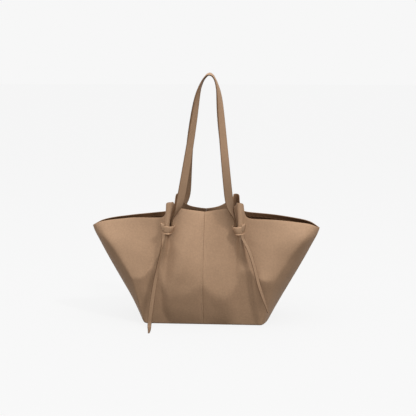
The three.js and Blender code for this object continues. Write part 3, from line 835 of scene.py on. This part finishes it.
def painted_light_and_wear(b, outer, side_x, side_y):
    """How far a half panel is lightened: by wear and painted highlight on its outside, by painted light on
    its flesh side.
    """
    x, z = outer[..., 0], outer[..., 2]
    from_rim = arc_from(outer, 0, True)
    aside = (x - gather_of(b, side_y) * side_x) / FOLD_WEAR_AND_HIGHLIGHT
    height = np.clip((z - FOLD_WEAR_AND_HIGHLIGHT_FROM) / (FOLD_WEAR_AND_HIGHLIGHT_FULL - FOLD_WEAR_AND_HIGHLIGHT_FROM), 0, 1)
    outside = np.maximum(0.6 * np.exp(-from_rim / RIM_WEAR_AND_HIGHLIGHT), 0.45 * np.exp(-aside * aside) * height)
    inside = np.exp(-((x / MOUTH_PAINTED_LIGHT) ** 2)) * (from_rim < MOUTH_PAINTED_LIGHT_DOWN)
    return outside, inside


class TOTE_OT_panels(bpy.types.Operator):
    """Sew the four leather half panels"""

    bl_idname = "tote.panels"
    bl_label = "Leather Panels"

    def execute(self, context):
        b = in_mm(context.scene.tote_body)
        us = fine_ends(150, [0.0012, 0.0026, 0.0045])
        vs = fine_ends(96, [0.002, 0.004, 0.007])
        materials = materials_of(context, "full_grain_leather", "painted_leather_edge", "brushed_suede")
        for side_x, side_y in SIDES:
            outer, normals, up = panel_grid(b, side_x, side_y, us, vs)
            inner = outer + normals * b.leather
            middle = (outer[-1] + inner[-1]) / 2
            rim = np.array([
                middle + (outer[-1] - middle) * math.cos(a) + up[-1] * b.leather / 2 * math.sin(a)
                for a in np.radians([45, 90, 135])
            ])
            outside, inside = painted_light_and_wear(b, outer, side_x, side_y)
            ring = np.concatenate([outside, np.full(rim.shape[:2], 0.3), inside[::-1]])
            name = side_name(side_x, side_y)
            obj = shell(f"leather_{name}", outer, inner, rim, materials, {"wear_and_painted_light": ring})
            settle(obj, "bag", "leather", f"{name}_panel")
        return {"FINISHED"}


class TOTE_OT_lining(bpy.types.Operator):
    """Hang the lining inside the leather"""

    bl_idname = "tote.lining"
    bl_label = "Lining"

    def execute(self, context):
        b = in_mm(context.scene.tote_body)
        us = np.linspace(0, 1, 73)
        vs = np.linspace(0, 1, 49)
        materials = materials_of(context, "cotton_twill")
        for side_y, name in FRONT_BACK:
            halves, insides = [], []
            for side_x in (-1, 1):
                net = lining_net(b, side_x, side_y)
                normals, _ = inward(net, us, vs)
                grid = surface(net, us, vs)
                halves.append(grid)
                insides.append(grid + normals * b.lining)
            outer = np.concatenate([halves[0], halves[1][:, ::-1]], 1)
            inner = np.concatenate([insides[0], insides[1][:, ::-1]], 1)
            obj = shell(f"lining_{name}", outer, inner, outer[:0], materials)
            settle(obj, "bag", "lining", f"{name}_lining")
            width = arc_from(inner, 1, False)[:, -1].max()
            height = arc_from(inner, 0, False)[-1].max()
        return {"FINISHED"}


def footprint(b, net_of, us, inset):
    """Closed outline of the bag at its base, moved in by inset."""
    parts = []
    for side_x, side_y, turn in ((-1, -1, 1), (1, -1, -1), (1, 1, 1), (-1, 1, -1)):
        net = net_of(b, side_x, side_y)
        normals, _ = inward(net, us, np.array([0.0, 1e-3]))
        row = surface(net, us, [0.0])[0] + normals[0] * inset
        parts.append(row[::turn])
    return np.concatenate(parts)[:, :2]


def plate(name, outline, low, thickness, materials, bevel):
    """A flat plate with a softened edge."""
    work = bmesh.new()
    lower = [work.verts.new((x * MM, y * MM, low * MM)) for x, y in outline]
    upper = [work.verts.new((x * MM, y * MM, (low + thickness) * MM)) for x, y in outline]
    bottom = work.faces.new(lower)
    top = work.faces.new(upper)
    for i in range(len(outline)):
        j = (i + 1) % len(outline)
        work.faces.new((lower[i], lower[j], upper[j], upper[i]))
    bmesh.ops.remove_doubles(work, verts=work.verts, dist=1e-6)
    bmesh.ops.recalc_face_normals(work, faces=work.faces)
    edges = [e for e in work.edges if any(f in (bottom, top) for f in e.link_faces)]
    bmesh.ops.bevel(work, geom=edges, offset=bevel * MM, segments=2, affect="EDGES", profile=0.5)
    mesh = bpy.data.meshes.new(name)
    work.to_mesh(mesh)
    work.free()
    for material in materials:
        mesh.materials.append(material)
    return smoothed(name, mesh, PLATE_CREASE)


class TOTE_OT_base(bpy.types.Operator):
    """Lay the base leather, its board and its lining"""

    bl_idname = "tote.base"
    bl_label = "Base"

    def execute(self, context):
        b = in_mm(context.scene.tote_body)
        us = np.linspace(0, 1, 61)[1:-1]
        leather = plate(
            "base_leather", footprint(b, panel_net, us, b.leather + b.gap), 0, b.base_leather,
            materials_of(context, "full_grain_leather"), b.base_round,
        )
        settle(leather, "bag", "leather", "base_panel")
        cut = footprint(b, lining_net, us, b.lining + b.gap)
        cloth = plate(
            "lining_base", cut, board_top(b), b.lining, materials_of(context, "cotton_twill"), b.cloth_round
        )
        settle(cloth, "bag", "lining", "base_lining")
        dress(context, "base_board", "pressed_fibre")
        return {"FINISHED"}


def knot_points(b, t, side_x, side_y, outline):
    """Grid of a wrapped band: one ring for each pair of a height share and an outward offset."""
    gather = gather_of(b, side_y)
    front = fold_front(b) + b.gap + t.band
    rounds = np.linspace(0, 2 * math.pi, KNOT_STEPS + 1)[:-1]
    cosine = np.sign(np.cos(rounds)) * np.abs(np.cos(rounds)) ** 0.7
    sine = np.sign(np.sin(rounds)) * np.abs(np.sin(rounds)) ** 0.7
    rings = []
    for share, out in outline:
        fall = (1 - share) ** 1.2
        reach = np.where(cosine > 0, t.outer - 2.5 * fall, t.inner - 8.5 * fall) + out
        deep = t.depth / 2 - 1.5 * fall + out
        x = gather + reach * cosine
        y = front - t.depth / 2 + deep * sine
        z = mix(t.low, t.high, share) + 0.07 * (x - gather) + 0.25 * np.sin(3 * rounds + 5 * share)
        rings.append(np.stack([side_x * x, side_y * y, z], -1))
    return np.array(rings)


# Rings of a wrapped band, a broad turn over a narrow one: height share and outward offset.
KNOT_SECTION = [
    (0.94, -2.2), (0.985, -1.5), (1.0, -0.8), (0.98, -0.1), (0.93, 0.25), (0.75, 0.4), (0.5, 0.3), (0.3, 0.0),
    (0.235, -0.5), (0.215, -0.8), (0.195, -0.5), (0.165, 0.1), (0.12, 0.5), (0.07, 0.5), (0.025, 0.1),
    (0.0, -0.7), (0.01, -1.5), (0.05, -2.2),
]
NARROW_TURN = range(11, 15)
# How far a knot is lightened with painted light, less on the broad turn of a left one.
KNOT_PAINTED_LIGHT, LEFT_KNOT_PAINTED_LIGHT = 0.95, 0.65
# The tie's end that stands up beside a knot: outward, forward of the fold's front, and height.
EAR = [
    (7, -8, 228), (8.5, -7, 238), (9.5, -5, 243), (9.5, -1, 245), (8.5, 1.5, 243), (7.5, 1.8, 236),
    (7, 1.2, 230),
]
EAR_STEPS = 26


class TOTE_OT_knots(bpy.types.Operator):
    """Wrap a tie round each pinched fold"""

    bl_idname = "tote.knots"
    bl_label = "Knots"

    def execute(self, context):
        b = in_mm(context.scene.tote_body)
        t = in_mm(context.scene.tote_ties)
        materials = materials_of(context, "full_grain_leather", "painted_leather_edge")
        for side_x, side_y in SIDES:
            rings = knot_points(b, t, side_x, side_y, KNOT_SECTION)
            rows, columns = rings.shape[:2]
            faces = quads(rows, columns, True, True)
            name = side_name(side_x, side_y)
            broad = LEFT_KNOT_PAINTED_LIGHT if side_x < 0 else KNOT_PAINTED_LIGHT
            # Painted light on the knot's turns.
            light_and_wear = np.array([[KNOT_PAINTED_LIGHT if i in NARROW_TURN else broad] * columns for i in range(rows)])
            band = new_piece(f"band_{name}", rings, faces, materials, attributes={"wear_and_painted_light": light_and_wear})
            gather, front = gather_of(b, side_y), fold_front(b)
            ear = (np.array(EAR) + [gather, front, 0]) * [side_x, side_y, 1]
            path = spline_path(ear, EAR_STEPS)
            across = np.tile([side_x, 0, 0.35], (EAR_STEPS, 1))
            loop = ribbon(f"ear_{name}", path, across, t.ear_width, t.ear_thickness, materials)
            joined = join(band, loop, f"knot_{name}")
            settle(joined, "bag", "leather", f"{name}_tie_wrap")
        return {"FINISHED"}


def join(first, second, name):
    """One mesh object from two."""
    work = bmesh.new()
    work.from_mesh(first.data)
    work.from_mesh(second.data)
    work.to_mesh(first.data)
    work.free()
    bpy.data.objects.remove(second)
    first.name = name
    first.data.name = name
    return first


# Routes of the tails: outward and forward from the fold's front, height share, turn in degrees, width share.
LONG_TAIL = [
    (6, 0, 1, 0, 0.7), (6, 0, 0.957, 0, 0.7), (8.5, 5, 0.882, 80, 1), (14, 9, 0.77, 70, 1),
    (21, 12, 0.61, 50, 1), (27, 16, 0.452, 25, 1), (32, 18, 0.293, 5, 1.15), (36, 19, 0.162, 0, 1.15),
    (38.5, 20, 0.059, 0, 1), (39, 24, 0, 0, 0.85), (37, 38, 0, 0, 0.7), (35, 55, 0, 0, 0.4),
    (34, 72, 0, 0, 0),
]
SHORT_TAIL = [
    (6, 0, 1, 0, 0.7), (6, 0, 0.965, 0, 0.7), (14, 5, 0.91, -20, 0.8), (25, 8, 0.807, -30, 0.8),
    (34, 11, 0.676, -35, 0.8), (42, 14, 0.527, -35, 0.8), (48, 15, 0.428, -30, 0.8), (59, 14, 0.29, -25, 0.6),
    (69, 11, 0.16, -20, 0),
]
# How far a tail is darkened with painted shade, along its length.
TAIL_SHADE_AT = [0, 0.2, 0.6, 0.75, 1]
LONG_TAIL_SHADE = [0.05, 0.1, 0.2, 0.45, 0.85]
SHORT_TAIL_SHADE = [0.05, 0.1, 0.18, 0.2, 0.25]


class TOTE_OT_tails(bpy.types.Operator):
    """Hang the ends of the four ties"""

    bl_idname = "tote.tails"
    bl_label = "Tie Tails"

    def execute(self, context):
        b = in_mm(context.scene.tote_body)
        t = in_mm(context.scene.tote_ties)
        materials = materials_of(context, "full_grain_leather", "painted_leather_edge")
        seat = t.thickness / math.sqrt(2) + b.gap
        top, floor = t.low + t.tuck, t.thickness / 2 + b.gap
        for side_x, side_y in SIDES:
            long = side_x * side_y > 0
            shape = np.array(LONG_TAIL if long else SHORT_TAIL, float)
            shape[:2, 1] = seat
            samples = spline_path(shape, TAIL_STEPS)
            gather, front = gather_of(b, side_y), fold_front(b)
            centres = np.stack([
                side_x * (gather + samples[:, 0]), side_y * (front + samples[:, 1]),
                mix(floor, top, samples[:, 2]),
            ], -1)
            turn = np.radians(samples[:, 3])
            across = np.stack([side_x * np.cos(turn), side_y * np.sin(turn), 0 * turn], -1)
            name = side_name(side_x, side_y)
            widths = mix(t.tip, t.width, samples[:, 4])
            shares = np.linspace(0, 1, TAIL_STEPS)
            painted_shade = np.interp(shares, TAIL_SHADE_AT, LONG_TAIL_SHADE if long else SHORT_TAIL_SHADE)
            # Painted shade along the tail; ink and a painted shadow line on its edges.
            marks = {"painted_shade": painted_shade, "ink_and_shade": np.full(TAIL_STEPS, 0.9)}
            obj = ribbon(f"tail_{name}", centres, across, widths, t.thickness, materials, marks)
            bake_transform(obj)
            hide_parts(f"{name}_tie_tail")
        return {"FINISHED"}


def strap_leg(b, s, side_y):
    """Control rows of a strap's left leg: place, turn and width."""
    gather = gather_of(b, side_y)
    end_x = gather - b.pinch_root - s.clearance - s.thickness / 2
    end_y = fold_front(b) - s.setback
    apex_y = s.width / 2 + s.clearance
    rim = s.spread + 0.45 * (gather - b.front_gather)

    def at(share):
        return mix(s.hinge, s.height, share)

    wide = s.width
    widening = mix(s.end_width, wide, 0.7)
    return [
        (end_x, end_y, s.hinge, 0, s.end_width),
        (end_x, end_y, at(0.03), 0, s.end_width),
        (mix(rim, end_x, 0.55), end_y, at(0.08), 25, widening),
        (mix(rim, end_x, 0.25), mix(apex_y, end_y, 0.98), at(0.13), 55, wide),
        (rim, mix(apex_y, end_y, 0.9), at(0.2), 70, wide),
        (0.79 * s.spread, mix(apex_y, end_y, 0.62), at(0.45), 54, wide),
        (0.57 * s.spread, mix(apex_y, end_y, 0.3), at(0.72), 42, wide),
        (0.46 * s.spread, mix(apex_y, end_y, 0.12), at(0.88), 25, wide),
        (0.28 * s.spread, apex_y, at(0.98), 0, wide),
        (0.08 * s.spread, apex_y, at(1.018), 0, wide),
    ]


def strap_path(b, s, side_y):
    """Centres, directions across and widths of a whole strap, foot to foot."""
    leg = strap_leg(b, s, side_y)
    nudge = [0, 0, 2, 3, 3, 2, 1, 0, 0, 0] if side_y < 0 else [0] * len(leg)
    left = [(n - x, y, z, side_y * a, w) for (x, y, z, a, w), n in zip(leg, nudge)]
    right = [(x, y, z, -1.2 * a, w) for x, y, z, a, w in leg[::-1]]
    samples = spline_path(left + right, STRAP_STEPS)
    share = (samples[:, 2] - s.hinge) / (s.height - s.hinge)
    bow = s.sway if side_y > 0 else 0
    # The curve share² (1 - share) is 4/27 high at its highest.
    samples[:, 0] += s.lean * share - 27 / 4 * bow * np.maximum(share * share * (1 - share), 0)
    samples[:, 1] *= side_y
    t = np.linspace(0, 1, STRAP_STEPS)
    turn = np.radians(samples[:, 3])
    tilt = s.tilt * np.cos(turn) * (1 - np.abs(2 * t - 1)) ** 4
    across = np.stack([np.sin(turn), side_y * np.cos(turn) * np.cos(tilt), -np.sin(tilt)], -1)
    ends = (FOOT_STEPS, FOOT_STEPS)
    centres = np.pad(samples[:, :3], (ends, (0, 0)), "edge")
    feet = np.linspace(s.foot, s.hinge, FOOT_STEPS + 1)[:-1]
    centres[:FOOT_STEPS, 2] = feet
    centres[-FOOT_STEPS:, 2] = feet[::-1]
    across = np.pad(across, (ends, (0, 0)), "edge")
    widths = np.pad(samples[:, 4], ends, constant_values=s.end_width)
    return centres, across, widths


# How far a strap is darkened with painted shade, and its edges by ink and painted shade, from the arch down
# to the hinge.
STRAP_SHADE = [0, 0.15, 0.5, 0.8, 1], [0, 0.06, 0.25, 0.38, 0.45]
STRAP_INK_AND_SHADE = [0, 0.015, 0.05, 0.5, 1], [1, 0.9, 0.25, 0.4, 0.8]
RIGHT_LEG_SHADE = 0.4


class TOTE_OT_straps(bpy.types.Operator):
    """Raise the two straps from the knots"""

    bl_idname = "tote.straps"
    bl_label = "Straps"

    def execute(self, context):
        b = in_mm(context.scene.tote_body)
        s = in_mm(context.scene.tote_straps)
        materials = materials_of(context, "full_grain_leather", "painted_leather_edge")
        for side_y, name in FRONT_BACK:
            centres, across, widths = strap_path(b, s, side_y)
            lowness = np.clip((s.height - centres[:, 2]) / (s.height - s.hinge), 0, 1)
            painted_shade = np.interp(lowness, *STRAP_SHADE)
            # More painted shade on the right leg's lower part, for the shadow of its fold.
            painted_shade += RIGHT_LEG_SHADE * (centres[:, 0] > s.lean) * np.clip(2 * lowness - 1, 0, 1)
            # Ink and painted shade on the edges, darkest under the arch.
            marks = {"painted_shade": painted_shade, "ink_and_shade": np.interp(lowness, *STRAP_INK_AND_SHADE)}
            obj = ribbon(f"strap_{name}", centres, across, widths, s.thickness, materials, marks)
            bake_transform(obj)
            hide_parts(f"{name}_handle", f"{name}_left_strap_end", f"{name}_right_strap_end")
        return {"FINISHED"}


class TOTE_OT_snap(bpy.types.Operator):
    """Finish the two halves of the magnetic snap"""

    bl_idname = "tote.snap"
    bl_label = "Magnetic Snap"

    def execute(self, context):
        for name in ("snap_socket", "snap_stud"):
            dress(context, name, "lacquered_brass")
        return {"FINISHED"}


def stitch_tree(material):
    """Nodes that lay even stitches along a line."""
    tree = bpy.data.node_groups.new("Seam Stitches", "GeometryNodeTree")
    face = tree.interface
    face.new_socket("Line", in_out="INPUT", socket_type="NodeSocketGeometry")
    for name in ("Spacing", "Length", "Thread"):
        face.new_socket(name, in_out="INPUT", socket_type="NodeSocketFloat")
    face.new_socket("Stitches", in_out="OUTPUT", socket_type="NodeSocketGeometry")
    inputs = add(tree, "NodeGroupInput").outputs
    curve = add(tree, "GeometryNodeMeshToCurve", links={"Mesh": inputs["Line"]})
    even = add(
        tree, "GeometryNodeResampleCurve", {"mode": "LENGTH"},
        {"Curve": curve.outputs["Curve"], "Length": inputs["Spacing"]},
    )
    points = add(
        tree, "GeometryNodeCurveToPoints", {"mode": "EVALUATED"}, {"Curve": even.outputs["Curve"]}
    )
    grain = add(tree, "GeometryNodeMeshUVSphere", {"Segments": 6, "Rings": 5, "Radius": 0.5})
    smooth = add(tree, "GeometryNodeSetShadeSmooth", links={0: grain.outputs["Mesh"]})
    turn = add(
        tree, "FunctionNodeAlignRotationToVector", {"axis": "X"}, {"Vector": points.outputs["Tangent"]}
    )
    size = add(
        tree, "ShaderNodeCombineXYZ", links={0: inputs["Length"], 1: inputs["Thread"], 2: inputs["Thread"]}
    )
    laid = add(
        tree, "GeometryNodeInstanceOnPoints",
        links={
            "Points": points.outputs["Points"], "Instance": smooth.outputs[0],
            "Rotation": turn.outputs["Rotation"], "Scale": size.outputs["Vector"],
        },
    )
    real = add(tree, "GeometryNodeRealizeInstances", links={0: laid.outputs["Instances"]})
    painted = add(tree, "GeometryNodeSetMaterial", {"Material": material}, {"Geometry": real.outputs[0]})
    add(tree, "NodeGroupOutput", links={0: painted.outputs[0]})
    return tree


class TOTE_OT_stitches(bpy.types.Operator):
    """Stitch the two centre seams"""

    bl_idname = "tote.stitches"
    bl_label = "Seam Stitches"

    def execute(self, context):
        b = in_mm(context.scene.tote_body)
        seams = in_mm(context.scene.tote_seams)
        values = {"Spacing": seams.spacing, "Length": seams.stitch, "Thread": seams.thread}
        (thread,) = materials_of(context, "waxed_thread")
        tree = stitch_tree(thread)
        us = np.array([0.985, 0.99, 0.994, 1.0])
        vs = np.linspace(0.03, 0.985, 200)
        for side_y, name in FRONT_BACK:
            net = panel_net(b, side_y, side_y)
            points = surface(net, us, vs)
            normals, _ = inward(net, us, vs)
            away = arc_from(points, 1, True)
            line = []
            for row, into, distance in zip(points, normals, away):
                at = [np.interp(seams.inset, distance[::-1], row[::-1, k]) for k in range(3)]
                line.append(np.array(at) - into[1] * seams.proud)
            mesh = bpy.data.meshes.new("seam_line")
            mesh.from_pydata((np.array(line) * MM).tolist(), [(i, i + 1) for i in range(len(line) - 1)], [])
            obj = put(f"stitches_{name}", mesh)
            modifier = obj.modifiers.new("Stitches", "NODES")
            modifier.node_group = tree
            for item in tree.interface.items_tree:
                if item.name in values:
                    modifier[item.identifier] = values[item.name] * MM
            evaluated = obj.evaluated_get(context.evaluated_depsgraph_get())
            made = bpy.data.meshes.new_from_object(evaluated)
            obj.modifiers.remove(modifier)
            # The line has no material of its own, so the mesh comes with an empty slot before the thread's.
            made.materials.clear()
            made.materials.append(thread)
            obj.data = made
            settle(obj, "bag", "leather")
        return {"FINISHED"}


def toward(azimuth, elevation):
    """Direction of something at this turn to the right of the front and this height above the horizon."""
    level = math.cos(elevation)
    return Vector((math.sin(azimuth) * level, -math.cos(azimuth) * level, math.sin(elevation)))


class TOTE_OT_stage(bpy.types.Operator):
    """Set the camera, the light and the floor"""

    bl_idname = "tote.stage"
    bl_label = "Stage"

    def execute(self, context):
        scene = context.scene
        g = scene.tote_stage
        scene.view_settings.view_transform = "Standard"
        target = Vector(g.target)
        back = toward(g.azimuth, g.elevation)
        camera = put("camera", bpy.data.cameras.new("camera"))
        camera.data.lens = g.lens
        camera.data.clip_end = 5 * FLOOR_REACH
        camera.location = target + back * g.distance
        camera.rotation_euler = (-back).to_track_quat("-Z", "Y").to_euler()
        scene.camera = camera

        key = put("key", bpy.data.lights.new("key", "SUN"))
        key.data.energy = g.key
        key.data.angle = g.key_angle
        key.rotation_euler = toward(g.key_azimuth, g.key_elevation).to_track_quat("Z", "Y").to_euler()

        softbox = put("softbox", bpy.data.lights.new("softbox", "AREA"))
        softbox.data.energy = g.softbox
        softbox.data.size = g.softbox_size
        softbox.location = g.softbox_place
        softbox.rotation_euler = (softbox.location - target).to_track_quat("Z", "Y").to_euler()

        world = bpy.data.worlds.new("pale_room")
        tree = empty_tree(world)
        seen = seen_by_eye(tree)
        level = add(tree, "ShaderNodeMix", {2: g.fill, 3: g.pale}, {0: seen})
        light = add(tree, "ShaderNodeBackground", {"Color": (1, 1, 1, 1)}, {"Strength": level.outputs[0]})
        add(tree, "ShaderNodeOutputWorld", links={"Surface": light.outputs[0]})
        scene.world = world

        mesh = bpy.data.meshes.new("floor")
        corners = [(x * FLOOR_REACH, y * FLOOR_REACH, 0) for x, y in ((-1, -1), (1, -1), (1, 1), (-1, 1))]
        mesh.from_pydata(corners, [], [(0, 1, 2, 3)])
        floor = put("floor", mesh)
        mesh.materials.append(floor_material(g))
        return {"FINISHED"}


def seen_by_eye(tree):
    """One for camera, mirror and glass rays, else zero."""
    path = add(tree, "ShaderNodeLightPath").outputs
    some = add(
        tree, "ShaderNodeMath", {"operation": "MAXIMUM"}, {0: path["Is Camera Ray"], 1: path["Is Glossy Ray"]}
    )
    every = add(
        tree, "ShaderNodeMath", {"operation": "MAXIMUM"}, {0: some.outputs[0], 1: path["Is Transmission Ray"]}
    )
    return every.outputs[0]


def floor_material(g):
    """Seamless paper: pale to the eye with a faint shadow, and a dimmer source of bounced light."""
    material = bpy.data.materials.new("seamless_paper")
    tree = empty_tree(material)
    seen = seen_by_eye(tree)
    bounce = (g.ground, 0.8 * g.ground, 0.65 * g.ground, 1.0)
    paper = (g.paper,) * 3 + (1.0,)
    tone = add(tree, "ShaderNodeMix", {"data_type": "RGBA", 6: bounce, 7: paper}, {0: seen})
    matt = add(tree, "ShaderNodeBsdfDiffuse", links={"Color": tone.outputs[2]})
    glow = add(tree, "ShaderNodeEmission", {"Color": (g.pale,) * 3 + (1.0,)})
    share = add(tree, "ShaderNodeMath", {"operation": "MULTIPLY", 1: g.glow}, {0: seen})
    mixed = {0: share.outputs[0], 1: matt.outputs[0], 2: glow.outputs[0]}
    both = add(tree, "ShaderNodeMixShader", links=mixed)
    add(tree, "ShaderNodeOutputMaterial", links={"Surface": both.outputs[0]})
    return material


class TOTE_PT_panel(bpy.types.Panel):
    """Sizes and steps of the tote bag"""

    bl_idname = "TOTE_PT_panel"
    bl_label = "Tote Bag"
    bl_space_type = "VIEW_3D"
    bl_region_type = "UI"
    bl_category = "Tote"

    def draw(self, context):
        for name in GROUPS:
            box = self.layout.box()
            box.label(text=GROUPS[name].__name__)
            group = getattr(context.scene, name)
            for key in group.__annotations__:
                box.prop(group, key)
        for operator in OPERATORS:
            self.layout.operator(operator.bl_idname)


GROUPS = {
    "tote_body": ToteBody,
    "tote_ties": ToteTies,
    "tote_straps": ToteStraps,
    "tote_seams": ToteSeams,
    "tote_finish": ToteFinish,
    "tote_stage": ToteStage,
}
OPERATORS = [
    TOTE_OT_stage, TOTE_OT_tails, TOTE_OT_panels, TOTE_OT_lining, TOTE_OT_base, TOTE_OT_knots, TOTE_OT_straps,
    TOTE_OT_snap, TOTE_OT_stitches,
]
CLASSES = [*GROUPS.values(), *OPERATORS, TOTE_PT_panel]


def register():
    for item in CLASSES:
        bpy.utils.register_class(item)
    for name, group in GROUPS.items():
        setattr(bpy.types.Scene, name, bpy.props.PointerProperty(type=group))


def unregister():
    for name in GROUPS:
        delattr(bpy.types.Scene, name)
    for item in reversed(CLASSES):
        bpy.utils.unregister_class(item)


def main():
    register()
    bpy.ops.tote.stage()
    bpy.ops.tote.tails()
    bpy.ops.tote.panels()
    bpy.ops.tote.lining()
    bpy.ops.tote.base()
    bpy.ops.tote.knots()
    bpy.ops.tote.straps()
    bpy.ops.tote.snap()
    bpy.ops.tote.stitches()


if __name__ == "__main__":
    main()
